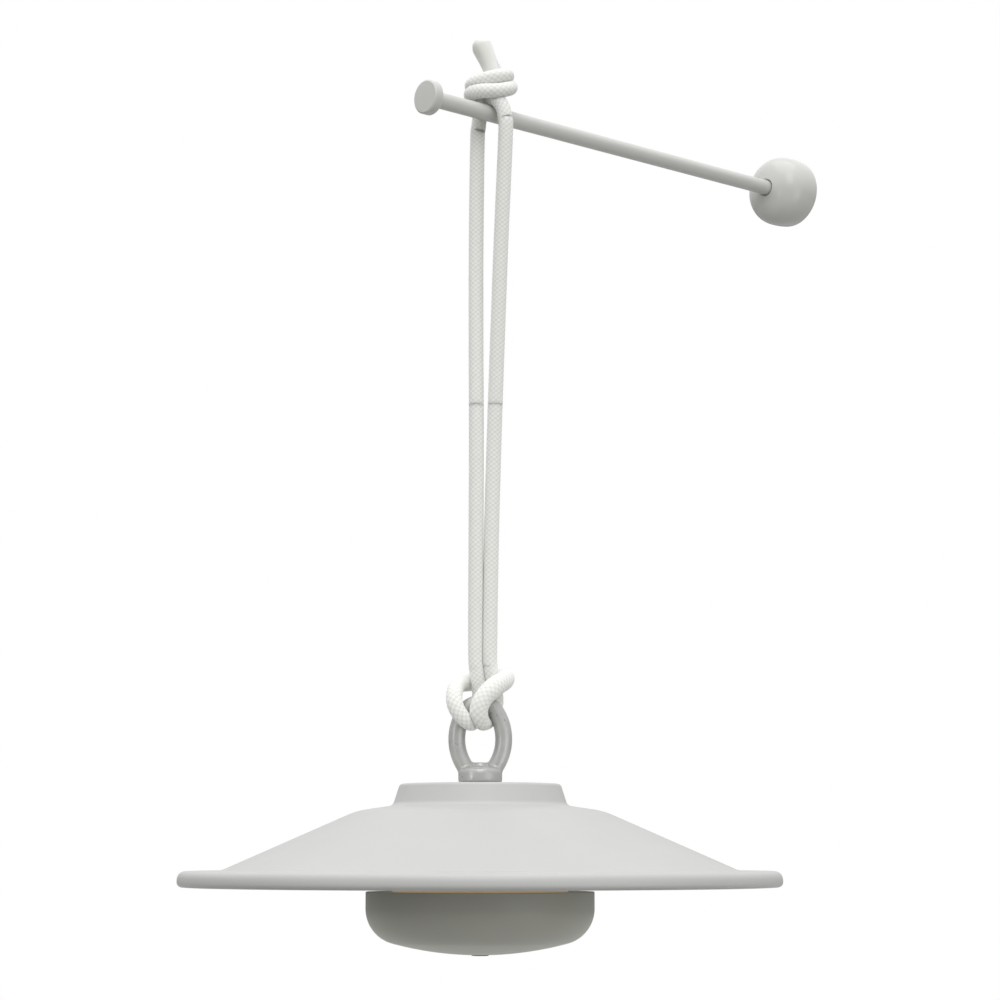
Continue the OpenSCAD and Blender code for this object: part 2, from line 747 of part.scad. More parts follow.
module leds() {
  package = [3.5, 3.5, 0.7];
  color("khaki") on_lamp()
    for (i = [0:led_count - 1])
      rotate([0, 0, 360 * (i + 0.5) / led_count])
        translate([led_r, 0, lid_top + heat_t + board_t + package.z / 2])
          cube(package, center = true);
}

module diffuser() {
  r = diffuser_d / 2;
  round_r = 5;
  inner = round_r - diffuser_t;
  color("antiquewhite") on_lamp() translate([0, 0, lid_top]) rotate_extrude() polygon(concat(
    [[r - diffuser_t, 0], [r, 0]],
    arc(r - round_r, diffuser_h - round_r, round_r, 0, 90),
    [
      [stem_d / 2 + close_c, diffuser_h],
      [stem_d / 2 + close_c, diffuser_h - diffuser_t]
    ],
    arc(r - round_r, diffuser_h - round_r, inner, 90, 0)
  ));
}

module at_cells() {
  for (x = [-cell_pitch / 2, cell_pitch / 2])
    translate([x, cell_len / 2, cell_z]) rotate([90, 0, 0]) children();
}

module battery_cells() {
  color("steelblue") on_lamp() at_cells() cylinder(d = cell_d, h = cell_len);
}

module battery_holder() {
  color("black") on_lamp() difference() {
    union() {
      translate([-holder_x, -holder_y, base_z]) cube([2 * holder_x, 2 * holder_y, base_t]);
      translate([-6, -tongue_y, base_z]) cube([12, 2 * tongue_y, base_t]);
      for (y = [-cradle_y, cradle_y])
        translate([-holder_x, y - cradle_w / 2, base_z]) cube([2 * holder_x, cradle_w, cradle_h + base_t]);
      for (y = [rib_y, cradle_y - rib_w / 2])
        translate([-board_w / 2 + 1, y, base_z]) cube([board_w - 2, rib_w, board_z - base_z]);
    }
    for (x = [-cell_pitch / 2, cell_pitch / 2])
      translate([x, cell_len, cell_z]) rotate([90, 0, 0])
        cylinder(r = cell_d / 2 + 0.1, h = 2 * cell_len);
    translate([0, 0, base_z - 1]) cylinder(r = base_cut_r, h = cradle_h + 3);
    for (y = [-holder_screw_y, holder_screw_y])
      translate([0, y, base_z - 1]) cylinder(r = 1.25 + close_c, h = base_t + 2, $fn = 32);
    for (x = [-board_screw_x, board_screw_x], y = board_screw_ys)
      translate([x, y, board_z - 8]) cylinder(r = small_screw_r + run_c, h = 9, $fn = 32);
  }
}

module holder_screws() {
  color("silver") on_lamp() for (y = [-holder_screw_y, holder_screw_y]) translate([0, y, 0]) {
    translate([0, 0, base_z + base_t]) cylinder(r = 2.2, h = 1.6, $fn = 32);
    translate([0, 0, base_z - 2.6]) cylinder(r = 1.25, h = base_t + 3, $fn = 32);
  }
}

module cell_contacts() {
  strip_h = 8;
  strip_w = 12;
  y = cell_len / 2;
  arm_h = 2;
  color("silver") on_lamp() {
    translate([-cell_pitch / 2 - strip_w / 2, -y - contact_t, cell_z - strip_h / 2])
      cube([cell_pitch + strip_w, contact_t, strip_h]);
    for (side = [0, 1]) mirror([side, 0, 0]) {
      translate([cell_pitch / 2 - strip_w / 2, y, cell_z - strip_h / 2])
        cube([strip_w, contact_t, board_top + arm_h - cell_z + strip_h / 2]);
      translate([board_w / 2 - 2, y, board_top])
        cube([cell_pitch / 2 - board_w / 2 + 2, contact_t, arm_h]);
    }
  }
}

module control_board() {
  board_start = rib_y;
  chip = [7, 7, 1.2];
  color("darkgreen") on_lamp() {
    difference() {
      translate([-board_w / 2, board_start, board_z]) cube([board_w, board_end - board_start, board_t]);
      for (x = [-board_screw_x, board_screw_x], y = board_screw_ys)
        translate([x, y, board_z - 1]) cylinder(r = small_screw_r + 0.1, h = board_t + 2, $fn = 32);
    }
    translate([-chip.x / 2, 2, board_top]) cube(chip);
    translate([-4, 40, board_top]) cylinder(d = 8, h = 2.2);
    translate([6.5, 41, board_top]) cylinder(d = 5, h = 1.8);
    // The indicator's own light, under the board
    translate([lens_x - 0.8, -0.5, board_z - 0.6]) cube([1.6, 1, 0.6]);
  }
}

module board_screws() {
  color("silver") on_lamp()
    for (x = [-board_screw_x, board_screw_x], y = board_screw_ys) translate([x, y, 0]) {
      translate([0, 0, board_top]) cylinder(r = 1.9, h = 1.3, $fn = 32);
      translate([0, 0, board_z - 6]) cylinder(r = small_screw_r, h = board_t + 6.5, $fn = 32);
    }
}

module charge_socket() {
  wall = 0.4;
  inner = [socket_size.x - 2 * wall, socket_size.y, socket_size.z - 2 * wall];
  tongue = [6.6, 4.4, 0.7];
  color("silver") on_lamp() translate([0, socket_front - socket_size.y, port_z]) {
    difference() {
      translate([-socket_size.x / 2, 0, -socket_size.z / 2]) cube(socket_size);
      translate([-inner.x / 2, 1, -inner.z / 2]) cube(inner);
    }
    translate([-tongue.x / 2, 0.5, -tongue.z / 2]) cube([tongue.x, tongue.y + 0.5, tongue.z]);
  }
}

module led_leads() {
  top = lid_top + heat_t + board_t;
  color("firebrick") on_lamp() {
    for (x = [-lead_x, lead_x])
      translate([x, lead_y, board_top]) cylinder(r = lead_r, h = top - board_top + 0.2, $fn = 24);
    translate([0, lead_y, top]) cylinder(r = 2.6, h = 0.5, $fn = 32);
  }
}

module lead_grommet() {
  flange_r = grommet_r + 1;
  color("dimgray") on_lamp() translate([0, lead_y, 0]) difference() {
    union() {
      translate([0, 0, lid_z - 0.8]) cylinder(r = flange_r, h = 0.8, $fn = 48);
      translate([0, 0, lid_z - 0.5]) cylinder(r = grommet_r - run_c, h = lid_t + 1, $fn = 48);
      translate([0, 0, lid_top]) cylinder(r = flange_r, h = 0.8, $fn = 48);
    }
    translate([0, 0, lid_z - 2]) cylinder(r = lead_x + lead_r + 0.1, h = lid_t + 4, $fn = 48);
  }
}

module button_switch() {
  color("black") on_lamp() {
    translate([-switch_size.x / 2, -switch_size.y / 2, board_z - switch_size.z]) cube(switch_size);
    translate([0, 0, board_z - switch_size.z - plunger_h]) cylinder(r = 1.75, h = plunger_h + 0.5);
  }
}

module indicator_lens() {
  collar_h = 1;
  color("lightcyan") on_lamp() translate([lens_x, 0, 0]) {
    translate([0, 0, unit_bottom + 0.02])
      cylinder(d = lens_d, h = board_z - 1 - unit_bottom, $fn = 32);
    translate([0, 0, floor_z(lens_x) + 0.13]) cylinder(r = lens_d / 2 + 0.3, h = collar_h, $fn = 32);
  }
}

module button_cap() {
  color("#333333") on_lamp() {
    translate([0, 0, button_z]) cylinder(d = button_d, h = flange_z - button_z + 0.5);
    translate([0, 0, flange_z]) cylinder(r = button_flange_r, h = button_flange_t);
    translate([0, 0, flange_z]) cylinder(r = press_r, h = press_top - flange_z);
  }
}

module port_flap() {
  color("dimgray") on_lamp() {
    intersection() {
      unit_solid(flap_inset);
      union() {
        translate([-flap_x, flap_axis_y - flap_t / 2, flap_axis_z])
          cube([2 * flap_x, flap_t, port_z + flap_up - flap_axis_z]);
        translate([-flap_x, flap_axis_y, flap_axis_z])
          rotate([0, 90, 0]) cylinder(d = flap_t, h = 2 * flap_x, $fn = 48);
      }
    }
    translate([-flap_x - pin_len, flap_axis_y, flap_axis_z])
      rotate([0, 90, 0]) cylinder(r = pin_r, h = 2 * (flap_x + pin_len), $fn = 32);
  }
}

wall_knob();
arm_rod();
end_cap();
hanger_bolt();
rope_knot();
rope_end_sleeve();
rope_rear_strand();
rope_front_strand();
ring_hitch();
eye_ring();
eye_gasket();
shade();
hub_plate();
lock_washer();
stem_tube();
stem_nut();
housing_shell();
housing_seal();
lid();
lid_screws();
heat_plate();
led_board();
leds();
diffuser();
battery_cells();
battery_holder();
holder_screws();
cell_contacts();
control_board();
board_screws();
charge_socket();
led_leads();
lead_grommet();
button_switch();
indicator_lens();
button_cap();
port_flap();
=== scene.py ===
"""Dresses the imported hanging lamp: smooth surfaces, a braided rope, finishes, light and camera.

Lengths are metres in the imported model's own frame. Values written in millimetres are
multiplied by MM.
"""
import json
import math

import bmesh
import bpy
import numpy as np
from bpy.props import FloatProperty, FloatVectorProperty, IntProperty, PointerProperty, StringProperty
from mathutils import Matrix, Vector


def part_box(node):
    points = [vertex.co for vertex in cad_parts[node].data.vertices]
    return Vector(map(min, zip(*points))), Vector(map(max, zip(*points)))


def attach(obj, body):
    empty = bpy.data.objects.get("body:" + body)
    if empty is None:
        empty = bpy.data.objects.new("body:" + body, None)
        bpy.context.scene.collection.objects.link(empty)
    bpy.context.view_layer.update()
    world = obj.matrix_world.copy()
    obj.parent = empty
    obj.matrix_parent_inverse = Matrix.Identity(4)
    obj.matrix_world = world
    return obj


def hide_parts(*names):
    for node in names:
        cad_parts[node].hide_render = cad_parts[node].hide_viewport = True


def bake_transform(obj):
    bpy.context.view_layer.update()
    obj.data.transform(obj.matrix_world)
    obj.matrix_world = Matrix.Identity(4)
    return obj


bl_info = {
    "name": "Hanging Lamp",
    "version": (1, 0, 0),
    "blender": (4, 5, 0),
    "location": "3D View > Sidebar > Lamp",
    "description": "Dresses a portable hanging lamp with its rope, arm, finishes and studio",
    "category": "Object",
}

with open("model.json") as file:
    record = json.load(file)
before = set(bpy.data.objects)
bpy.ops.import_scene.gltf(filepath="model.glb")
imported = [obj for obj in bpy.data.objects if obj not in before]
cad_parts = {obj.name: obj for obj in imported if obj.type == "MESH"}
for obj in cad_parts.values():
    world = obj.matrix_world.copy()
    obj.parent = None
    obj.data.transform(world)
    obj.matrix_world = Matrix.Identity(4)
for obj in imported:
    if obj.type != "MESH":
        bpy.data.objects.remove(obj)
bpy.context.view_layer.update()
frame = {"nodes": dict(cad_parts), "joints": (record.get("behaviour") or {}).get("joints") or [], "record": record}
MM = 0.001
JOINTS = {joint["name"]: joint for joint in frame["joints"]}

# The lamp's axis stands under the eye's top bar, and the eye's plane runs along the tilt axis
EYE_TOP = Vector(JOINTS["lamp_tilt"]["pos_m"])
EYE_ALONG = Vector(JOINTS["lamp_tilt"]["axis"])
TURN = math.atan2(EYE_ALONG.y, EYE_ALONG.x)
RIM_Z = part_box("shade")[0].z
KNOT = Vector(JOINTS["rope_swing"]["pos_m"])


def width(node, axis):
    """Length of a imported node's box along one axis."""
    low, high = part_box(node)
    return high[axis] - low[axis]


def lamp_height(z):
    """Height above the bottom of the shade's rim."""
    return z - RIM_Z


def lamp_heights(node):
    """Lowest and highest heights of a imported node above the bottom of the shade's rim."""
    return [lamp_height(corner.z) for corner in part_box(node)]


# Sizes and finishes that a user may change


def length(name, description, default):
    """A length that a user may change, in metres."""
    return FloatProperty(name=name, description=description, default=default, unit="LENGTH")


class ArmSizes(bpy.types.PropertyGroup):
    rod: length("Arm", "Diameter of the arm", width("arm_rod", 0))
    edge: length("Edge", "Radius on the cap's edges", 0.5 * MM)
    bevel: length("Bevel", "Width of the cap's bevels", 0.8 * MM)
    knob_band: length("Knob band", "Distance of the knob's widest place from the wall", 10.2 * MM)
    knob_dome: length("Knob dome", "Depth of the knob's dome in front of its widest place", 16.4 * MM)
    mouth: length("Mouth", "Width and depth of the knob's countersunk mouth", 1.2 * MM)


class ShadeSizes(bpy.types.PropertyGroup):
    wall: length("Sheet", "Thickness of the spun sheet", 1.5 * MM)
    roll: length("Roll", "Height of the rolled edge", 8.7 * MM)
    roll_reach: length("Roll's reach", "Width of the rolled edge's upper curve", 5.5 * MM)
    roll_low: length("Roll's lip", "Radius of the rolled edge's tight lower lip", 2.8 * MM)
    brim: length("Brim", "Diameter where the brim turns up", 282.8 * MM)
    shoulder: length("Shoulder", "Diameter of the shoulder", 135.8 * MM)
    shoulder_up: length("Shoulder height", "Height of the shoulder", 41.2 * MM)
    collar: length("Collar", "Diameter at the collar's foot", 96 * MM)
    collar_up: length("Collar height", "Height of the collar's foot", 44.2 * MM)
    crown: length("Crown", "Diameter of the flat crown", 88.4 * MM)
    hole: length("Hole", "Diameter of the hole for the eye's stud", 10.4 * MM)


class EyeSizes(bpy.types.PropertyGroup):
    bar: length("Bar", "Diameter of the eye's bar", 9.4 * MM)
    across: length("Width", "Width of the eye between bar centres", 25.9 * MM)
    tall: length("Height", "Height of the eye between bar centres", 39.2 * MM)
    end: length("End radius", "Radius of the eye's ends", 10.2 * MM)
    foot: length("Foot", "Diameter of the eye's foot", 24.2 * MM)
    foot_tall: length("Foot height", "Height of the eye's foot", 8.3 * MM)
    stud: length("Stud", "Diameter of the stud under the foot", 10 * MM)


class UnitSizes(bpy.types.PropertyGroup):
    wall: length("Wall", "Wall thickness of the housing", 2 * MM)
    side: length("Side", "Height of the housing's straight side", 9.1 * MM)
    corner: length("Corner", "Radius of the housing's lower corner", 19.5 * MM)
    turn: FloatProperty(
        name="Corner turn", description="Angle through which the corner turns",
        default=math.radians(75), subtype="ANGLE",
    )
    flap: length("Flap", "Width of the charge port's flap", 14.4 * MM)
    button: length("Button", "Diameter of the button", width("button_cap", 0) - 1.4 * MM)


class RopeSizes(bpy.types.PropertyGroup):
    thick: length("Rope", "Diameter of the braided rope", 8.5 * MM)
    pick: length("Pick", "Length of half a stitch of the braid", 1.3 * MM)
    carriers: IntProperty(
        name="Carriers", description="Strands that run each way round the rope", default=8, min=4
    )
    relief: length("Relief", "Height of the braid's strands", 0.2 * MM)


class Finishes(bpy.types.PropertyGroup):
    shade: StringProperty(name="Shade", description="Powder coat of the shade", default="#C2C2C0")
    arm: StringProperty(name="Arm", description="Powder coat of the arm and cap", default="#D2D2CE")
    knob: StringProperty(name="Knob", description="Powder coat of the wall knob", default="#D2D2CE")
    # The housing's coat is darker than the shade's: partly its own grey, partly painted shade for the shade that
    # falls on the unit under the shade
    unit: StringProperty(name="Unit", description="Powder coat of the housing", default="#B9B9B0")
    eye: StringProperty(name="Eye", description="Satin cast metal of the eye", default="#BCBDBA")
    rope: StringProperty(name="Rope", description="Braided cord", default="#F3F3EF")


class StudioSettings(bpy.types.PropertyGroup):
    floor_up: length("Floor", "Height of the floor", -1.1)
    lens: FloatProperty(name="Lens", description="Focal length in millimetres", default=93.7)
    camera_place: FloatVectorProperty(
        name="Camera", description="Place of the camera", default=(1.0511, -1.2577, -0.4199),
        unit="LENGTH",
    )
    camera_forward: FloatVectorProperty(
        name="Forward", description="Direction in which the camera looks",
        default=(-0.71812, 0.68267, 0.13514),
    )


class LampSettings(bpy.types.PropertyGroup):
    arm: PointerProperty(type=ArmSizes)
    shade: PointerProperty(type=ShadeSizes)
    eye: PointerProperty(type=EyeSizes)
    unit: PointerProperty(type=UnitSizes)
    rope: PointerProperty(type=RopeSizes)
    finish: PointerProperty(type=Finishes)
    studio: PointerProperty(type=StudioSettings)


# Profiles: arrays of (radius, height) rows


def arc(centre, radius, start, end, steps=12):
    """Points on a circle from one angle to another, in degrees."""
    a = np.radians(np.linspace(start, end, steps + 1))
    return np.column_stack((centre[0] + radius * np.cos(a), centre[1] + radius * np.sin(a)))


def rounded(corners, steps=8):
    """A line through corners (r, z, radius), each corner swapped for an arc that touches both legs.

    The arc's centre lies on the corner's bisector, at the radius over the sine of half the angle.
    """
    points = np.array([c[:2] for c in corners], float)
    rows = [points[:1]]
    for before, here, after, corner in zip(points, points[1:], points[2:], corners[1:]):
        u = (before - here) / np.linalg.norm(before - here)
        v = (after - here) / np.linalg.norm(after - here)
        half = math.acos(np.clip(u @ v, -1, 1)) / 2
        if corner[2] <= 0 or half > math.radians(89.9):
            rows.append(here[None])
            continue
        reach = corner[2] / math.tan(half)
        middle = here + (u + v) / np.linalg.norm(u + v) * corner[2] / math.sin(half)
        p = here + u * reach - middle
        q = here + v * reach - middle
        a = math.atan2(p[1], p[0])
        turn = (math.atan2(q[1], q[0]) - a + math.pi) % (2 * math.pi) - math.pi
        t = a + turn * np.linspace(0, 1, steps + 1)
        rows.append(middle + corner[2] * np.column_stack((np.cos(t), np.sin(t))))
    rows.append(points[-1:])
    return np.vstack(rows)


def moved(line, wall):
    """The same line moved to its left by a wall's thickness, along the mean of each point's normals."""
    leg = np.diff(line, axis=0)
    leg /= np.linalg.norm(leg, axis=1)[:, None]
    normal = np.column_stack((-leg[:, 1], leg[:, 0]))
    first = np.vstack((normal[:1], normal))
    last = np.vstack((normal, normal[-1:]))
    mean = first + last
    mean /= np.linalg.norm(mean, axis=1)[:, None]
    return line + mean * wall / np.sum(mean * first, axis=1)[:, None]


# Meshes


def grid_faces(rows, cols, wrap_rows, wrap_cols):
    """Quads of a grid of rows by columns: corner indices, and the grid place of each corner."""
    i, j = np.meshgrid(
        np.arange(rows if wrap_rows else rows - 1), np.arange(cols if wrap_cols else cols - 1), indexing="ij"
    )
    i, j = i.ravel(), j.ravel()
    ci = np.column_stack((i, i, i + 1, i + 1))
    cj = np.column_stack((j, j + 1, j + 1, j))
    return (ci % rows) * cols + cj % cols, np.stack((ci, cj), axis=-1)


def new_object(name, points, quads, uv=None):
    """A mesh object from arrays of points and quads, with an optional UV for each corner."""
    mesh = bpy.data.meshes.new(name)
    mesh.vertices.add(len(points))
    mesh.vertices.foreach_set("co", np.ascontiguousarray(points, np.float32).ravel())
    mesh.loops.add(quads.size)
    mesh.loops.foreach_set("vertex_index", np.ascontiguousarray(quads, np.int32).ravel())
    mesh.polygons.add(len(quads))
    mesh.polygons.foreach_set("loop_start", np.arange(0, quads.size, quads.shape[1], dtype=np.int32))
    mesh.update(calc_edges=True)
    if uv is not None:
        layer = mesh.uv_layers.new(name="UVMap")
        layer.uv.foreach_set("vector", np.ascontiguousarray(uv, np.float32).ravel())
    obj = bpy.data.objects.new(name, mesh)
    bpy.context.scene.collection.objects.link(obj)
    return obj


def close_up(obj, sharp=35):
    """Merges doubles, points the faces out and shades smooth, with edges past an angle left sharp."""
    work = bmesh.new()
    work.from_mesh(obj.data)
    bmesh.ops.remove_doubles(work, verts=work.verts, dist=1e-6)
    bmesh.ops.dissolve_degenerate(work, edges=work.edges, dist=1e-7)
    bmesh.ops.recalc_face_normals(work, faces=work.faces)
    work.to_mesh(obj.data)
    work.free()
    obj.data.shade_smooth()
    obj.data.set_sharp_from_angle(angle=math.radians(sharp))
    return obj


def on_lamp(points):
    """Points of the lamp's own frame, turned to the eye's plane and moved under the eye."""
    c, s = math.cos(TURN), math.sin(TURN)
    x, y, z = points[..., 0], points[..., 1], points[..., 2]
    return np.stack((x * c - y * s + EYE_TOP.x, x * s + y * c + EYE_TOP.y, z + RIM_Z), axis=-1)


def along_arm(points):
    """Points whose height runs out from the wall along the arm."""
    return np.stack((points[..., 0], -points[..., 2], points[..., 1]), axis=-1)


def lathe(name, line, place, segments=192, closed=True):
    """A surface of revolution: each row of the line is carried once round its own axis.

    x = r cos a, y = r sin a, z = z. A closed line gives a solid ring; otherwise both ends meet the axis.
    """
    a = np.linspace(0, 2 * math.pi, segments, endpoint=False)
    line = np.asarray(line, float)
    grid = np.stack(
        (
            line[:, :1] * np.cos(a), line[:, :1] * np.sin(a), np.repeat(line[:, 1:], segments, axis=1),
        ),
        axis=-1,
    )
    quads, where = grid_faces(len(line), segments, closed, True)
    travel = np.concatenate(([0], np.cumsum(np.linalg.norm(np.diff(line, axis=0), axis=1)), [0]))
    uv = np.stack((where[..., 1] / segments, travel[where[..., 0]]), axis=-1)
    return close_up(new_object(name, place(grid.reshape(-1, 3)), quads, uv))


def applied(obj, kind, settings):
    """Puts one modifier into the object's mesh."""
    modifier = obj.modifiers.new(kind, kind)
    for key, value in settings.items():
        setattr(modifier, key, value)
    graph = bpy.context.evaluated_depsgraph_get()
    baked = bpy.data.meshes.new_from_object(obj.evaluated_get(graph), depsgraph=graph)
    obj.modifiers.clear()
    old = obj.data
    obj.data = baked
    bpy.data.meshes.remove(old)


def joined(obj, other, how):
    """Joins or cuts a solid by a second one, which is deleted."""
    applied(obj, "BOOLEAN", {"operation": how, "solver": "EXACT", "object": other})
    bpy.data.objects.remove(other)


def block(name, low, high, bevel=0):
    """A box between two corners in the lamp's own frame, its edges rounded to a radius."""
    ends = tuple(zip(low, high))
    corners = np.array([(x, y, z) for z in ends[2] for y in ends[1] for x in ends[0]])
    quads = np.array([(0, 2, 3, 1), (4, 5, 7, 6), (0, 1, 5, 4), (2, 6, 7, 3), (0, 4, 6, 2), (1, 3, 7, 5)])
    obj = close_up(new_object(name, on_lamp(corners), quads))
    if bevel > 0:
        applied(obj, "BEVEL", {"width": bevel, "segments": 4, "limit_method": "NONE"})
    return obj


# Rope


# The rope's route in millimetres: (along the eye's plane, towards the viewer, up, share of the radius).
# The hitch is measured from the eye's top bar.
HITCH = (
    (-2.6, -8, 30.4, 1), (-1.9, -8.6, 18.4, 1), (-0.4, -9.2, 8.4, 1), (-0.9, -8.9, -0.6, 0.97),
    (-2.4, -6.2, -7.2, 0.87), (-3.8, -1.2, -10.8, 0.82), (-5.4, 4.8, -11.3, 0.96),
    (-8.8, 8.8, -9.2, 1.02), (-12.3, 9.8, -4.8, 1.06), (-14.2, 8.4, 0.4, 1.08),
    (-14.2, 4, 5.8, 1.06), (-13, -3.2, 9.4, 1.02), (-10.4, -11.4, 11.7, 1.12), (-5, -17.2, 12.9, 1.18),
    (2.6, -18.6, 14.4, 1.15), (9.2, -17.6, 15.4, 1.1), (13.6, -12.4, 15.2, 1.15),
    (13.4, -5, 13, 1.25), (9.6, 2, 10.2, 1.32), (5.4, 7.2, 6.6, 1.32), (1.6, 9.8, 2, 1.25),
    (-0.6, 10.2, -3, 1.22), (-0.6, 8.6, -7.7, 1.2), (1.2, 5, -10.8, 1.06), (3.2, 0, -11.2, 0.82),
    (4.8, -5.6, -9.8, 0.84), (7, -9.4, -6, 0.97), (8.7, -10.8, 0.4, 1), (8.2, -10.2, 7.6, 1),
    (6.4, -9.2, 14.4, 1), (5.5, -8.4, 21.4, 1), (5.2, -8, 30.4, 1),
)
# The knot's two ropes are measured from the knot's axis and the arm's axis
KNOT_REAR = (
    (-7.8, -8.4, -14, 1), (-7.2, -8.2, -6, 1), (-6.4, -7.4, 1, 1), (-5, -5.4, 7.4, 1),
    (-3, -2.4, 14, 1), (0.2, -5, 20.4, 1), (-0.4, -10.2, 21.6, 1), (-5, -11, 19.6, 1),
    (-9.4, -7.4, 18, 1), (-11, -2.4, 17.4, 1), (-9, 2.8, 17.8, 1), (-4.2, 6.6, 18.4, 1),
    (0.8, 8.2, 19.2, 1), (5.4, 7.2, 20.4, 1), (8.6, 3.6, 21.9, 1), (8.8, -1.2, 22.5, 1),
    (6.2, -1.4, 23.2, 1), (3, 1, 25, 1), (-0.2, 3.4, 28.4, 1), (-1.9, 3.9, 31.6, 1),
    (-3.3, 3.9, 35, 1), (-5.4, 3.9, 40.8, 1),
)
KNOT_FRONT = (
    (8.2, 8.6, -14, 1), (7.9, 8.4, -5, 1), (6.4, 7.8, 2, 1), (3.4, 5.8, 6.6, 1), (1, 1, 8.9, 1),
    (3.6, -5.2, 13.2, 1), (3.4, -11, 14.4, 1), (-2.2, -12.8, 13.4, 1), (-8.4, -9.6, 12.6, 1),
    (-11.4, -3.8, 12.2, 1), (-10.4, 2.4, 12, 1), (-6.4, 7.4, 11.4, 1), (-1, 10.2, 10.8, 1),
    (4.2, 10, 11, 1), (8.6, 7.2, 12.6, 1), (11, 1.8, 15.2, 1), (9, -3.6, 18.2, 1),
    (4.6, -5, 22.8, 1), (0.8, -4.2, 27.4, 1), (-1.1, -3.9, 30.5, 1), (-2.5, -3.9, 34.2, 1),
    (-5, -3.9, 40.8, 1),
)
# The sleeve over the two rope ends is measured the same way
SLEEVE = ((2.2, 0, 21), (0.8, 0, 24.5), (-1.5, 0, 30.9), (-3.9, 0, 36.5), (-5.6, 0, 40.3), (-6.5, 0, 43.9))
# The strands between them: (share of the height, along the eye's plane, towards the viewer)
STRAND_REAR = ((0.2, -2.5, -8), (0.4, -2.35, -8.3), (0.6, -2.6, -9.5), (0.8, -2.6, -11.5))
STRAND_FRONT = ((0.2, 6.1, -8), (0.4, 7.6, -7.3), (0.6, 9.5, -4.8), (0.8, 11.6, -1.2))
RING_STEP = 0.4 * MM
ROPE_SIDES = 72


def from_eye(rows, base):
    """Route rows (along, towards the viewer, up) turned into the frame about a base point."""
    rows = np.asarray(rows, float) * MM
    c, s = math.cos(TURN), math.sin(TURN)
    return np.column_stack(
        (
            rows[:, 0] * c + rows[:, 1] * s + base[0],
            rows[:, 0] * s - rows[:, 1] * c + base[1],
            rows[:, 2] + base[2],
        )
    )


def strand_rows(rows):
    """Rows of a strand, each at its share of the height between the hitch and the knot."""
    low = HITCH[0][2]
    high = (KNOT.z - EYE_TOP.z) / MM + KNOT_REAR[0][2]
    return [(u, v, low + (high - low) * share) for share, u, v in rows]


def smooth_path(points, step):
    """An even path through the points: each span is a Catmull-Rom cubic, then resampled by length."""
    p = np.vstack((2 * points[0] - points[1], points, 2 * points[-1] - points[-2]))
    t = np.linspace(0, 1, 40, endpoint=False)[None, :, None]
    p0, p1, p2, p3 = (p[k : len(p) - 3 + k, None, :] for k in range(4))
    curve = 0.5 * (
        2 * p1 + (p2 - p0) * t + (2 * p0 - 5 * p1 + 4 * p2 - p3) * t**2 + (3 * p1 - p0 - 3 * p2 + p3) * t**3
    )
    curve = np.vstack((curve.reshape(-1, p.shape[1]), points[-1:]))
    travel = np.concatenate(([0], np.cumsum(np.linalg.norm(np.diff(curve[:, :3], axis=0), axis=1))))
    even = np.linspace(0, travel[-1], int(round(travel[-1] / step)) + 1)
    return np.column_stack([np.interp(even, travel, curve[:, k]) for k in range(p.shape[1])]), even


def carried_frames(path):
    """Tangents, and side vectors carried along the path with no twist about it."""
    tangent = np.gradient(path, axis=0)
    tangent /= np.linalg.norm(tangent, axis=1)[:, None]
    side = np.zeros_like(path)
    n = np.array((1.0, 0.0, 0.0))
    for k, t in enumerate(tangent):
        n = n - (n @ t) * t
        n /= np.linalg.norm(n)
        side[k] = n
    return tangent, side


def whole_route():
    """The rope's whole centre line with the share of the radius, and the length travelled, at each ring."""
    hitch = from_eye([row[:3] for row in HITCH], EYE_TOP)
    rear = from_eye([row[:3] for row in KNOT_REAR], KNOT)
    front = from_eye([row[:3] for row in KNOT_FRONT], KNOT)
    base = (EYE_TOP.x, EYE_TOP.y, EYE_TOP.z)
    rear_strand = from_eye(strand_rows(STRAND_REAR), base)
    front_strand = from_eye(strand_rows(STRAND_FRONT), base)
    places = np.vstack((rear[::-1], rear_strand[::-1], hitch, front_strand, front))
    shares = np.concatenate(
        (
            [row[3] for row in KNOT_REAR[::-1]], np.ones(len(STRAND_REAR)), [row[3] for row in HITCH],
            np.ones(len(STRAND_FRONT)), [row[3] for row in KNOT_FRONT],
        )
    )
    return smooth_path(np.column_stack((places, shares)), RING_STEP)


def braid_relief(travel, around, sizes):
    """Height from 0 to 1 of a braid at a length along the rope and an angle round it.

    Two sets of strands wind opposite ways: a and b count them. In each cell of the lattice that
    they make, one set lies on top, and the sets take turns. A strand is a half ellipse across
    its width that dips at both ends, where it goes under its neighbours.
    """
    turn = sizes.carriers * around / (2 * math.pi)
    a = turn + travel / (2 * sizes.pick)
    b = turn - travel / (2 * sizes.pick)
    a_on_top = (np.floor(a) + np.floor(b)) % 2 < 0.5
    fa = a - np.floor(a) - 0.5
    fb = b - np.floor(b) - 0.5
    across = np.where(a_on_top, fa, fb)
    length = np.where(a_on_top, fb, fa)
    return np.sqrt(np.clip(1 - (1.9 * across) ** 2, 0, 1)) * (0.45 + 0.55 * np.cos(math.pi * length))


def keep_height(obj, values):
    """Stores each point's share of the braid's height, which the cord's material reads to paint shade in the
    braid's gaps and light on its crowns.
    """
    height = obj.data.attributes.new("height", "FLOAT", "POINT")
    height.data.foreach_set("value", values.astype(np.float32).ravel())


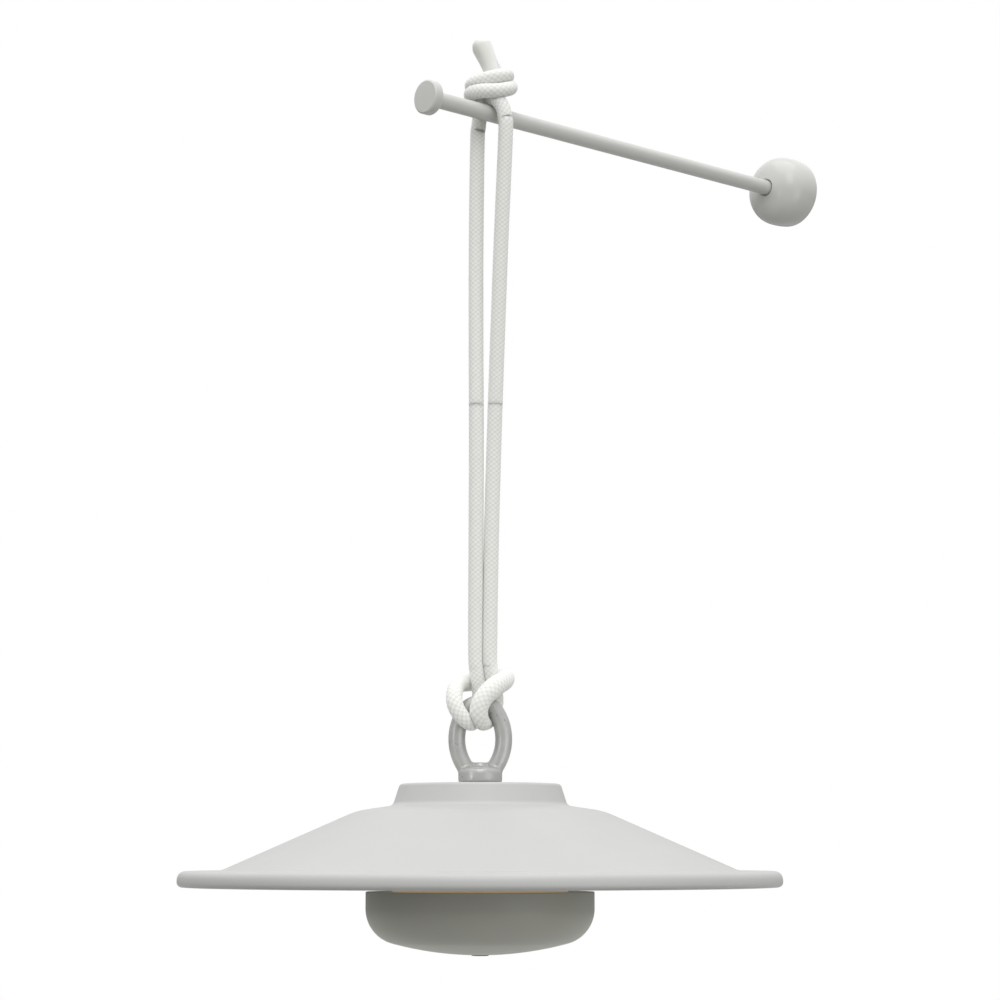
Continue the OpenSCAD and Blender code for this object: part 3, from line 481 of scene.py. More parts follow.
def rope_stretch(name, path, travel, tangent, side, sizes, first, last):
    """A stretch of the braided rope between two rings of the route, its ends closed by flat fans.

    Ring k is centre + radius (cos a side + sin a cross(tangent, side)), and the radius holds the
    braid's relief.
    """
    rings = slice(first, last + 1)
    centre, share = path[rings, :3], path[rings, 3]
    n = side[rings][:, None]
    other = np.cross(tangent[rings], side[rings])[:, None]
    a = np.linspace(0, 2 * math.pi, ROPE_SIDES, endpoint=False)
    cos, sin = np.cos(a)[None, :, None], np.sin(a)[None, :, None]
    relief = braid_relief(travel[rings, None], a[None], sizes)
    radius = share[:, None] * sizes.thick / 2 - sizes.relief * (1 - relief)
    grid = centre[:, None] + radius[..., None] * (cos * n + sin * other)
    grid = np.concatenate((centre[:1, None] + 0 * grid[:1], grid, centre[-1:, None] + 0 * grid[-1:]))
    length = np.concatenate((travel[rings][:1], travel[rings], travel[rings][-1:]))
    quads, where = grid_faces(len(grid), ROPE_SIDES, False, True)
    uv = np.stack((where[..., 1] / ROPE_SIDES, length[where[..., 0]]), axis=-1)
    obj = new_object(name, grid.reshape(-1, 3), quads, uv)
    keep_height(obj, np.concatenate((relief[:1], relief, relief[-1:])))
    return close_up(obj, 60)


# Materials


def linear(hex_colour):
    """A colour's linear red, green, blue and alpha from its sRGB hex."""
    value = [int(hex_colour[k : k + 2], 16) / 255 for k in (1, 3, 5)]
    return (*[c / 12.92 if c <= 0.04045 else ((c + 0.055) / 1.055) ** 2.4 for c in value], 1.0)


def scaled(hex_colour, factor):
    """A tone of the same colour, lighter or darker in sRGB."""
    value = [min(255, max(0, round(int(hex_colour[k : k + 2], 16) * factor))) for k in (1, 3, 5)]
    return "#%02X%02X%02X" % tuple(value)


def add(tree, kind, settings=None, links=None):
    """Adds one node, sets its properties and sockets, and links sockets to other nodes' outputs."""
    node = tree.nodes.new(kind)
    for key, value in (settings or {}).items():
        if isinstance(key, str) and hasattr(node, key) and key not in node.inputs:
            setattr(node, key, value)
        else:
            node.inputs[key].default_value = value
    for key, source in (links or {}).items():
        tree.links.new(source, node.inputs[key])
    return node


def new_material(name, shader):
    """A material with one Principled shader, its constants on its own sockets, and its Object place."""
    material = bpy.data.materials.new(name)
    material.use_nodes = True
    tree = material.node_tree
    tree.nodes.clear()
    surface = add(tree, "ShaderNodeBsdfPrincipled", shader)
    add(tree, "ShaderNodeOutputMaterial", links={"Surface": surface.outputs["BSDF"]})
    place = add(tree, "ShaderNodeTexCoord").outputs["Object"]
    return material, tree, surface, place


def toned(tree, surface, share, low, high, darker, colour):
    """Base colour that runs from a darker tone to the full one between two values of a share."""
    ramp = add(tree, "ShaderNodeValToRGB", links={"Fac": share})
    for stop, position, tone in zip(ramp.color_ramp.elements, (low, high), (darker, colour)):
        stop.position = position
        stop.color = linear(tone)
    tree.links.new(ramp.outputs["Color"], surface.inputs["Base Color"])


def mottled(tree, surface, place, size, colour, darker):
    """Slow colour changes between two close tones, over patches of a real size."""
    noise = add(
        tree, "ShaderNodeTexNoise", {"Scale": 1 / size, "Detail": 3.0, "Roughness": 0.55}, {"Vector": place}
    )
    toned(tree, surface, noise.outputs["Fac"], 0.25, 0.75, darker, colour)


def clouded(tree, surface, place, size, detail, low, high):
    """Roughness that drifts between two values, over clouds of a real size."""
    noise = add(tree, "ShaderNodeTexNoise", {"Scale": 1 / size, "Detail": detail}, {"Vector": place})
    gloss = add(
        tree, "ShaderNodeMapRange", {"From Min": 0.3, "From Max": 0.7, "To Min": low, "To Max": high},
        {"Value": noise.outputs["Fac"]},
    )
    tree.links.new(gloss.outputs["Result"], surface.inputs["Roughness"])


def bumped(tree, surface, height, strength, depth):
    """A fine relief of a real depth on the surface."""
    bump = add(tree, "ShaderNodeBump", {"Strength": strength, "Distance": depth}, {"Height": height})
    tree.links.new(bump.outputs["Normal"], surface.inputs["Normal"])


def grained(tree, surface, place, size, detail, strength, depth):
    """A fine relief of random grains of a real size."""
    noise = add(tree, "ShaderNodeTexNoise", {"Scale": 1 / size, "Detail": detail}, {"Vector": place})
    bumped(tree, surface, noise.outputs["Fac"], strength, depth)


def powder_coat(name, colour, roughness):
    """Baked polyester powder coat on metal: an even satin with the faint orange peel of its flow.

    The peel's real spacing is about 1 mm, and tiny speckles of 0.3 mm roughen the gloss.
    """
    material, tree, surface, place = new_material(name, {"IOR": 1.5, "Metallic": 0.0})
    mottled(tree, surface, place, 40 * MM, colour, scaled(colour, 0.985))
    clouded(tree, surface, place, 0.3 * MM, 1.0, roughness - 0.05, roughness + 0.05)
    grained(tree, surface, place, 0.9 * MM, 2.0, 0.35, 0.02 * MM)
    return material


def satin_cast(name, colour):
    """Cast aluminium, tumbled to a satin: soft grey metal with hand-rubbed patches."""
    material, tree, surface, place = new_material(name, {"Metallic": 0.35})
    mottled(tree, surface, place, 6 * MM, colour, scaled(colour, 0.95))
    clouded(tree, surface, place, 3 * MM, 4.0, 0.26, 0.4)
    return material


def braided_cord(name, colour):
    """Braided polyester cord: matt white yarn with a soft sheen, its fibres about 0.25 mm apart.

    The modelled braid's height paints shade into the gaps between its strands, where real cord holds
    its own shadow, and paints light on their crowns. The fibres are a fine bump over them. Light
    spreads a few millimetres between the fibres, which softens the shading.
    """
    material, tree, surface, place = new_material(
        name, {
            "Roughness": 0.85, "IOR": 1.45, "Sheen Weight": 0.15, "Sheen Roughness": 0.5,
            "Subsurface Weight": 0.8, "Subsurface Radius": (4 * MM, 4 * MM, 3.7 * MM),
            "Subsurface Scale": 1.0,
        },
    )
    height = add(tree, "ShaderNodeAttribute", {"attribute_name": "height"}).outputs["Fac"]
    # Painted shade in the braid's gaps and painted light on its crowns, read from the braid's height
    toned(tree, surface, height, 0.1, 0.85, scaled(colour, 0.87), colour)
    grained(tree, surface, place, 0.25 * MM, 3.0, 0.5, 0.08 * MM)
    return material


def moulded(name, colour, roughness, grain, depth=0.02 * MM, extra=None):
    """Moulded plastic or rubber with the fine spark-eroded grain of its mould, about 0.5 mm across."""
    material, tree, surface, place = new_material(
        name, {"IOR": 1.5, "Roughness": roughness, **(extra or {})}
    )
    mottled(tree, surface, place, 8 * MM, colour, scaled(colour, 0.94))
    grained(tree, surface, place, grain, 2.0, 0.4, depth)
    return material


def plated_steel(name, colour):
    """Zinc-plated steel: bright blue-grey metal with the cloudy spangle of its bath, patches of 4 mm."""
    material, tree, surface, place = new_material(name, {"Metallic": 1.0})
    mottled(tree, surface, place, 4 * MM, colour, scaled(colour, 0.88))
    clouded(tree, surface, place, 2 * MM, 4.0, 0.24, 0.42)
    return material


def turned_sheet(name, colour):
    """Aluminium sheet faced on a lathe: rings of tool marks 0.4 mm apart about the lamp's axis."""
    material, tree, surface, place = new_material(name, {"Metallic": 1.0, "Roughness": 0.35})
    mottled(tree, surface, place, 10 * MM, colour, scaled(colour, 0.93))
    centred = add(
        tree, "ShaderNodeMapping", {"vector_type": "POINT", "Location": (-EYE_TOP.x, -EYE_TOP.y, 0.0)},
        {"Vector": place},
    )
    # Blender's wave repeats every 0.314 of its scaled length
    rings = add(
        tree, "ShaderNodeTexWave",
        {"wave_type": "RINGS", "rings_direction": "Z", "Scale": 0.314 / (0.4 * MM), "Distortion": 0.6},
        {"Vector": centred.outputs["Vector"]},
    )
    bumped(tree, surface, rings.outputs["Fac"], 0.2, 0.02 * MM)
    return material


def opal_acrylic(name, colour):
    """Opal acrylic, moulded: milky, its light spreads 3 mm under the skin, with a low warm glow."""
    return moulded(
        name, colour, 0.32, 1.2 * MM, 0.01 * MM,
        {
            "Subsurface Weight": 0.35, "Subsurface Radius": (3 * MM, 2.4 * MM, 1.6 * MM),
            "Subsurface Scale": 1.0, "Emission Color": linear("#FFDDA8"), "Emission Strength": 0.18,
        },
    )


def clear_acrylic(name, colour):
    """Clear acrylic light pipe: glassy, faintly blue, with flow marks of the mould."""
    return moulded(name, colour, 0.12, 2 * MM, 0.01 * MM, {"Transmission Weight": 0.7})


def make_materials(finish):
    """Every finish of the lamp, by the record's material slot."""
    return {
        "powder_white": powder_coat("powder_coat_white", finish.knob, 0.17),
        "powder_grey": powder_coat("powder_coat_arm", finish.arm, 0.3),
        "shade_white": powder_coat("powder_coat_shade", finish.shade, 0.45),
        # The housing's coat is darker than the shade's, partly painted shade for the shadow under the shade
        "housing_grey": powder_coat("powder_coat_housing", finish.unit, 0.45),
        "satin_eye": satin_cast("satin_cast_aluminium", finish.eye),
        "rope": braided_cord("braided_polyester", finish.rope),
        "zinc_steel": plated_steel("zinc_plated_steel", "#A9ADB0"),
        "nickel_strip": plated_steel("nickel_plated_sheet", "#BDB8AC"),
        "lid_aluminium": turned_sheet("faced_aluminium", "#BFC1C3"),
        "opal_diffuser": opal_acrylic("opal_acrylic", "#E9D9BC"),
        "lens_clear": clear_acrylic("clear_acrylic", "#DDE8EC"),
        "seal_rubber": moulded("black_silicone", "#1E1E1E", 0.62, 0.4 * MM),
        "button_dark": moulded("dark_silicone", "#262626", 0.55, 0.4 * MM),
        "flap_rubber": moulded("grey_silicone", "#7D7E7C", 0.6, 0.4 * MM),
        "board_white": moulded("white_solder_mask", "#E6E6E2", 0.35, 0.8 * MM),
        "board_green": moulded("green_solder_mask", "#1F5A34", 0.3, 0.8 * MM),
        "led_phosphor": moulded("yellow_phosphor", "#E0C860", 0.6, 0.3 * MM),
        "cell_wrap": moulded("blue_shrink_wrap", "#2F6390", 0.35, 1.5 * MM),
        "black_plastic": moulded("black_abs", "#161616", 0.5, 0.5 * MM),
        "lead_silicone": moulded("red_silicone_lead", "#9A1F1A", 0.5, 0.5 * MM),
    }


MATERIALS = {}


def dress(obj, slot, body, *nodes):
    """Gives a piece its slot's finish, lets it ride on a body and puts it in the place of nodes."""
    obj.data.materials.clear()
    obj.data.materials.append(MATERIALS[slot])
    if body:
        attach(obj, body)
    if nodes:
        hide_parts(*nodes)
    return obj


# Operators: one for each piece or group of like pieces


class LAMP_OT_finishes(bpy.types.Operator):
    """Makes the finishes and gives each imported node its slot's finish"""

    bl_idname = "lamp.finishes"
    bl_label = "Finishes"

    def execute(self, context):
        MATERIALS.update(make_materials(context.scene.lamp.finish))
        slots = {row["node"]: row["material_slot"] for row in frame["record"]["subparts"]}
        for name, obj in frame["nodes"].items():
            obj.data.materials.clear()
            obj.data.materials.append(MATERIALS[slots[name]])
        return {"FINISHED"}


class LAMP_OT_rope(bpy.types.Operator):
    """Makes the doubled rope with its hitch and knot, as three cords of one continuous braid"""

    bl_idname = "lamp.rope"
    bl_label = "Rope"

    def execute(self, context):
        sizes = context.scene.lamp.rope
        path, travel = whole_route()
        tangent, side = carried_frames(path[:, :3])
        middle = (EYE_TOP.z + KNOT.z) / 2
        low = int(np.argmin(path[:, 2]))
        above = path[:, 2] > middle
        seam_rear = int(np.nonzero(above[:low])[0][-1])
        seam_front = low + int(np.nonzero(above[low:])[0][0])
        hitch_start = Vector((EYE_TOP.x, EYE_TOP.y, EYE_TOP.z + 50 * MM))
        hitch_end = Vector((EYE_TOP.x, EYE_TOP.y, EYE_TOP.z + 6 * MM))
        knot_start = Vector((KNOT.x, KNOT.y, 6 * MM))
        knot_end = Vector((KNOT.x, KNOT.y, -40 * MM))
        # Name, rings, bodies, where the blend starts and ends, nodes, and the ring it leaves from
        stretches = (
            ("rope_rear_upper", 0, seam_rear, "knot", "strands", knot_start, knot_end,
             ("rope_knot", "rope_rear_strand"), -1),
            ("rope_lower", seam_rear, seam_front, "strands", "lamp", hitch_start, hitch_end,
             ("ring_hitch",), 0),
            ("rope_front_upper", seam_front, len(path) - 1, "knot", "strands", knot_start, knot_end,
             ("rope_front_strand",), 0),
        )
        for name, first, last, upper, lower, start, end, nodes, exit_end in stretches:
            obj = rope_stretch(name, path, travel, tangent, side, sizes, first, last)
            dress(obj, "rope", None, *nodes)
            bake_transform(obj)
        return {"FINISHED"}


class LAMP_OT_sleeve(bpy.types.Operator):
    """Makes the closed sleeve over the two rope ends"""

    bl_idname = "lamp.sleeve"
    bl_label = "Rope end sleeve"

    def execute(self, context):
        path, _ = smooth_path(from_eye(SLEEVE, KNOT), RING_STEP)
        tangent, _ = carried_frames(path)
        towards = np.array((math.sin(TURN), -math.cos(TURN), 0.0))
        across = np.cross(towards, tangent)
        across /= np.linalg.norm(across, axis=1)[:, None]
        up = np.linspace(0, 1, len(path))
        to_end = (1 - up) * len(path) * RING_STEP
        # The sleeve widens upwards, covers two ropes side by side, and closes over its last length
        closing, side_by_side, squareness = 5.5 * MM, 3.7 * MM, 2.6
        cap = np.sqrt(np.clip(1 - np.clip(1 - to_end / closing, 0, 1) ** 2.2, 0, 1))
        half_u = (4.2 + 1.7 * up) * MM
        half_v = half_u + side_by_side
        a = np.linspace(0, 2 * math.pi, ROPE_SIDES, endpoint=False)
        power = 2 / squareness
        u = np.sign(np.cos(a)) * np.abs(np.cos(a)) ** power
        v = np.sign(np.sin(a)) * np.abs(np.sin(a)) ** power
        size_u = half_u * cap
        size_v = (half_v - half_u * (1 - cap)) * (cap > 0)
        grid = (
            path[:, None]
            + (size_u[:, None] * u)[..., None] * across[:, None]
            + (size_v[:, None] * v)[..., None] * towards
        )
        grid = np.concatenate((path[:1, None] + 0 * grid[:1], grid))
        quads, where = grid_faces(len(grid), len(a), False, True)
        uv = np.stack((where[..., 1] / len(a), where[..., 0] * RING_STEP), axis=-1)
        obj = new_object("rope_end_cover", grid.reshape(-1, 3), quads, uv)
        # An even braid height, so the painted braid shade leaves the smooth sleeve one even tone near its full
        # colour
        keep_height(obj, np.full(len(obj.data.vertices), 0.7))
        close_up(obj, 60)
        dress(obj, "rope", "knot", "rope_end_sleeve")
        return {"FINISHED"}


class LAMP_OT_arm(bpy.types.Operator):
    """Makes the wall arm, its cap and its domed knob"""

    bl_idname = "lamp.arm"
    bl_label = "Wall arm"

    def execute(self, context):
        sizes = context.scene.lamp.arm
        radius = sizes.rod / 2
        arm_start = -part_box("arm_rod")[1].y
        arm_end = -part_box("arm_rod")[0].y
        bore, chamfer = 2.55 * MM, 0.3 * MM
        line = rounded(
            (
                (bore, arm_end - chamfer, 0), (bore + chamfer, arm_end, 0),
                (radius, arm_end, chamfer), (radius, arm_start, chamfer), (bore, arm_start, 0),
            ), 4,
        )
        dress(lathe("arm_tube", line, along_arm, 96), "powder_grey", "bracket", "arm_rod")

        cap_radius = width("end_cap", 0) / 2
        cap_end = -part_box("end_cap")[0].y
        spigot = -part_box("end_cap")[1].y
        spigot_r = 2.5 * MM
        bevel, edge = sizes.bevel, sizes.edge
        line = rounded(
            (
                (0, spigot, 0), (spigot_r, spigot, 0.3 * MM), (spigot_r, arm_end, 0.2 * MM),
                (cap_radius - bevel, arm_end, edge), (cap_radius, arm_end + bevel, edge),
                (cap_radius, cap_end - bevel, edge), (cap_radius - bevel, cap_end, edge), (0, cap_end, 0),
            ), 5,
        )
        dress(lathe("arm_cap", line, along_arm, 128, closed=False), "powder_grey", "bracket", "end_cap")

        knob_radius = width("wall_knob", 0) / 2
        band, dome = sizes.knob_band, sizes.knob_dome
        # The back is a shallow super-ellipse and the dome a fuller one: r = R (1 - t^n)^(1/n)
        back_reach, back_power, dome_power = 34.3 * MM, 2.09, 2.37
        t = np.linspace(0, 1, 9)[:-1]
        back = np.column_stack(
            (knob_radius * (1 - ((1 - t) * band / back_reach) ** back_power) ** (1 / back_power), t * band)
        )
        mouth = radius + sizes.mouth
        r = mouth + (knob_radius - mouth) * np.cos(np.linspace(0, math.pi / 2, 40))
        nose = np.column_stack(
            (r, band + dome * (1 - (r / knob_radius) ** dome_power) ** (1 / dome_power))
        )
        lip = nose[-1, 1]
        hole, flat_share = 3.2 * MM, 0.955
        inside = rounded(
            (
                (mouth, lip, 0), (radius + 0.2 * MM, lip - sizes.mouth, 0.3 * MM),
                (radius + 0.05 * MM, arm_start, 0), (hole, arm_start, 0), (hole, 0, 0),
                (knob_radius * flat_share, 0, 0.4 * MM), tuple(back[1]) + (0,),
            ), 4,
        )
        line = np.vstack((inside[1:-1], back[1:], nose))
        dress(lathe("knob_dome", line, along_arm, 192), "powder_white", "bracket", "wall_knob")
        return {"FINISHED"}


class LAMP_OT_shade(bpy.types.Operator):
    """Makes the spun shade with its rolled edge"""

    bl_idname = "lamp.shade"
    bl_label = "Shade"

    def execute(self, context):
        sizes = context.scene.lamp.shade
        rim = width("shade", 0) / 2
        top = lamp_heights("shade")[1]
        # The rolled edge: a turned-in hem, a tight lip, then a full quarter ellipse up to the brim,
        # (x / a)^2.5 + (z / b)^2.5 = 1
        a = np.radians(np.linspace(0, 86, 25)[1:])
        reach, low, power = sizes.roll_reach, sizes.roll_low, 2 / 2.5
        upper = np.column_stack(
            (rim - reach + reach * np.cos(a) ** power, low + (sizes.roll - low) * np.sin(a) ** power)
        )
        back, hem_tall, hem_bend = rim - sizes.roll, sizes.roll * 0.75, 3 * MM
        hem = rounded(((back, hem_tall, 0), (back, 0, hem_bend), (rim - low, 0, 0)), 6)[:-1]
        curl = np.vstack((hem, arc((rim - low, low), low, -90, 0, 8), upper))
        face = rounded(
            (
                (rim - reach, sizes.roll, 0), (sizes.brim / 2, sizes.roll + 0.2 * MM, 12 * MM),
                (sizes.shoulder / 2, sizes.shoulder_up, 40 * MM),
                (sizes.collar / 2, sizes.collar_up, 3.5 * MM), (sizes.crown / 2, top, 2.2 * MM),
                (sizes.hole / 2, top, 0),
            ), 14,
        )
        line = np.vstack((curl, face))
        line = np.vstack((line, moved(line, sizes.wall)[::-1]))
        dress(lathe("shade_skin", line, on_lamp, 288), "shade_white", "lamp", "shade")
        return {"FINISHED"}


class LAMP_OT_eye(bpy.types.Operator):
    """Makes the cast eye: its bar, foot and stud, melted into one casting"""

    bl_idname = "lamp.eye"
    bl_label = "Eye"

    def execute(self, context):
        sizes = context.scene.lamp.eye
        half_w, half_h, end = sizes.across / 2, sizes.tall / 2, sizes.end
        seat = lamp_heights("eye_gasket")[1]
        middle = lamp_height(EYE_TOP.z) - half_h
        end_z = half_h - end
        narrow = half_w - end
        side_x = (end_z**2 - narrow**2) / (2 * narrow)
        side_r = side_x + half_w
        turn = math.degrees(math.atan2(end_z, side_x))
        # The bar's centre line is an oval of four arcs
        arcs = (
            ((-side_x, 0), side_r, -turn, turn), ((0, end_z), end, turn, 180 - turn),
            ((side_x, 0), side_r, 180 - turn, 180 + turn), ((0, -end_z), end, 180 + turn, 360 - turn),
        )
        rows = [arc(c, r, a, b, 40)[:-1] for c, r, a, b in arcs]
        out = np.radians(np.concatenate([np.linspace(a, b, 41)[:-1] for _, _, a, b in arcs]))
        oval = np.vstack(rows)
        around = np.linspace(0, 2 * math.pi, 48, endpoint=False)
        reach = sizes.bar / 2 * np.cos(around)
        grid = np.stack(
            (
                oval[:, :1] + reach * np.cos(out)[:, None],
                np.repeat(sizes.bar / 2 * np.sin(around)[None], len(oval), axis=0),
                oval[:, 1:] + reach * np.sin(out)[:, None] + middle,
            ),
            axis=-1,
        )
        quads, _ = grid_faces(len(oval), len(around), True, True)
        bar = close_up(new_object("eye_casting", on_lamp(grid.reshape(-1, 3)), quads))
        foot_r, stud_r = sizes.foot / 2, sizes.stud / 2
        foot_top = seat + sizes.foot_tall
        neck_r, neck_top_r, neck_top = 4.6 * MM, 4.4 * MM, foot_top + 2.7 * MM
        stud_low = lamp_heights("eye_ring")[0]
        line = rounded(
            (
                (0, stud_low, 0), (stud_r, stud_low, 0.5 * MM), (stud_r, seat, 0), (foot_r, seat, 0.3 * MM),
                (foot_r, foot_top, 3 * MM), (neck_r, foot_top, 1.5 * MM), (neck_top_r, neck_top, 0),
                (0, neck_top, 0),
            ), 5,
        )
        foot = lathe("eye_foot", line, on_lamp, 96, closed=False)
        below = block("below_seat", (-20 * MM, -20 * MM, seat - 10 * MM), (20 * MM, 20 * MM, seat))
        joined(bar, below, "DIFFERENCE")
        joined(bar, foot, "UNION")
        applied(bar, "REMESH", {"mode": "VOXEL", "voxel_size": 0.42 * MM})
        applied(bar, "SMOOTH", {"factor": 0.5, "iterations": 30})
        close_up(bar, 180)
        dress(bar, "satin_eye", "lamp", "eye_ring")
        return {"FINISHED"}


def housing_line(sizes, inset):
    """The housing's outer line moved in by an inset: side, corner arc, and a dome that meets the arc."""
    radius = width("housing_shell", 0) / 2
    top = lamp_heights("housing_shell")[1]
    corner = (radius - sizes.corner, top - sizes.side)
    turn = math.degrees(sizes.turn)
    dome_r = (corner[0] + sizes.corner * math.cos(sizes.turn)) / math.cos(sizes.turn)
    dome_z = corner[1] + (dome_r - sizes.corner) * math.sin(sizes.turn)
    hole = sizes.button / 2 + 0.2 * MM
    r = np.linspace(dome_r * math.cos(sizes.turn), hole, 26)[1:]
    reach = dome_r - inset
    dome = np.column_stack((r, dome_z - np.sqrt(reach**2 - r**2)))
    return np.vstack(((radius - inset, top), arc(corner, sizes.corner - inset, 0, -turn, 20), dome))


class LAMP_OT_unit(bpy.types.Operator):
    """Makes the light unit's housing, with its charge port and the hole for its button, and the port's rubber flap
    """

    bl_idname = "lamp.unit"
    bl_label = "Light unit"

    def execute(self, context):
        sizes = context.scene.lamp.unit
        outside = housing_line(sizes, 0)
        inside = housing_line(sizes, sizes.wall)
        top = outside[0, 1]
        lip = 0.5 * MM
        seal = lamp_heights("housing_seal")[0]
        wall_r = inside[0, 0]
        ledge_r, ledge_low = wall_r - 3 * MM, seal - 2 * MM
        line = np.vstack(
            (
                arc((outside[0, 0] - lip, top - lip), lip, 90, 0, 4), outside[1:], inside[:0:-1],
                (wall_r, ledge_low), (ledge_r, ledge_low), (ledge_r, seal), (wall_r, seal),
                (wall_r, top - 0.3 * MM), (wall_r + 0.3 * MM, top),
            )
        )
        shell = lathe("housing_skin", line, on_lamp, 256)

        hinge = Vector(JOINTS["port_flap_hinge"]["pos_m"])
        out = math.hypot(hinge.x - EYE_TOP.x, hinge.y - EYE_TOP.y)
        up = lamp_height(hinge.z)
        floor, beyond = out - 1.9 * MM, out + 20 * MM
        low, high = lamp_heights("port_flap")
        half, gap = sizes.flap / 2, 0.3 * MM

        pad_half, pad_deep, pad_edge = 12.5 * MM, 2.6 * MM, 2.3 * MM
        pad = block(
            "port_pad", (-pad_half, floor - pad_deep, low - pad_edge), (pad_half, beyond, seal - 1 * MM)
        )
        joined(pad, self.filled(sizes, 1 * MM), "INTERSECT")
        joined(shell, pad, "UNION")
        pocket = block(
            "port_pocket", (-half - gap, floor, low - gap), (half + gap, beyond, high + gap), 0.5 * MM
        )
        joined(shell, pocket, "DIFFERENCE")
        joined(shell, self.pin("pin_hole", 0.85 * MM, half + 1.4 * MM, out, up), "DIFFERENCE")
        port = sum(lamp_heights("charge_socket")) / 2
        slot_half, slot_up, slot_deep = 5.2 * MM, 2.2 * MM, 5 * MM
        slot = block(
            "port_slot", (-slot_half, floor - slot_deep, port - slot_up),
            (slot_half, floor + slot_deep, port + slot_up), 1.6 * MM,
        )
        joined(shell, slot, "DIFFERENCE")
        lens_low, lens_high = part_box("indicator_lens")
        lens = (lens_low + lens_high) / 2
        side = math.hypot(lens.x - EYE_TOP.x, lens.y - EYE_TOP.y)
        bore_r, start, end = 0.95 * MM, lamp_height(lens_low.z) - 5 * MM, lamp_height(lens_high.z)
        bore = lathe(
            "lens_bore", ((0, start), (bore_r, start), (bore_r, end), (0, end)),
            lambda p: on_lamp(p + np.array((side, 0, 0))), 32, closed=False,
        )
        joined(shell, bore, "DIFFERENCE")
        close_up(shell, 30)
        dress(shell, "housing_grey", "lamp", "housing_shell")

        flap = block("port_cover", (-half, floor + gap, up), (half, beyond, high))
        joined(flap, self.pin("barrel", 1.6 * MM, half, out, up, 48), "UNION")
        joined(flap, self.filled(sizes, gap), "INTERSECT")
        applied(flap, "BEVEL", {"width": 0.35 * MM, "segments": 3, "angle_limit": math.radians(50)})
        joined(flap, self.pin("hinge_pin", 0.8 * MM, half + 1.2 * MM, out, up), "UNION")
        close_up(flap, 40)
        dress(flap, "flap_rubber", "flap", "port_flap")
        return {"FINISHED"}

    def filled(self, sizes, inset):
        """The housing filled solid, moved in by an inset."""
        line = housing_line(sizes, inset)
        return lathe(
            "housing_solid", np.vstack(((0, line[0, 1]), line, (0, line[-1, 1]))), on_lamp, 256, closed=False
        )

    def pin(self, name, radius, half, out, up, segments=32):
        """A round bar along the hinge's axis."""
        line = ((0, -half), (radius, -half), (radius, half), (0, half))
        return lathe(
            name, line, lambda p: on_lamp(np.stack((p[:, 2], p[:, 0] + out, p[:, 1] + up), axis=-1)),
            segments, closed=False,
        )


class LAMP_OT_button(bpy.types.Operator):
    """Makes the rubber button under the housing"""

    bl_idname = "lamp.button"
    bl_label = "Button"

    def execute(self, context):
        sizes = context.scene.lamp.unit
        low, high = lamp_heights("button_cap")
        radius = sizes.button / 2
        flange = width("button_cap", 0) / 2
        flange_z = lamp_heights("housing_shell")[0] + sizes.wall + 0.2 * MM
        flange_top, post = flange_z + 1 * MM, 2 * MM
        line = rounded(
            (
                (0, low + 0.25 * MM, 0), (radius * 0.72, low + 0.2 * MM, 3 * MM),
                (radius * 0.86, low, 0.4 * MM), (radius, low + 0.05 * MM, 0.35 * MM),
                (radius, flange_z, 0), (flange, flange_z, 0.2 * MM), (flange, flange_top, 0.2 * MM),
                (post, flange_top, 0.3 * MM), (post, high, 0.3 * MM), (0, high, 0),
            ), 5,
        )
        dress(lathe("button_face", line, on_lamp, 96, closed=False), "button_dark", "button", "button_cap")
        return {"FINISHED"}


class LAMP_OT_diffuser(bpy.types.Operator):
    """Makes the opal diffuser between the housing and the shade"""

    bl_idname = "lamp.diffuser"
    bl_label = "Diffuser"

    def execute(self, context):
        low, high = lamp_heights("diffuser")
        radius = width("diffuser", 0) / 2
        wall, corner, hole = 2 * MM, 5 * MM, 8.2 * MM
        line = rounded(
            (
                (radius - wall, low, 0), (radius, low, 0.2 * MM), (radius, high, corner),
                (hole, high, 0.5 * MM), (hole, high - wall, 0),
                (radius - wall, high - wall, corner - wall), (radius - wall, low, 0),
            ), 8,
        )
        dress(lathe("diffuser_dome", line, on_lamp, 192), "opal_diffuser", "lamp", "diffuser")
        return {"FINISHED"}


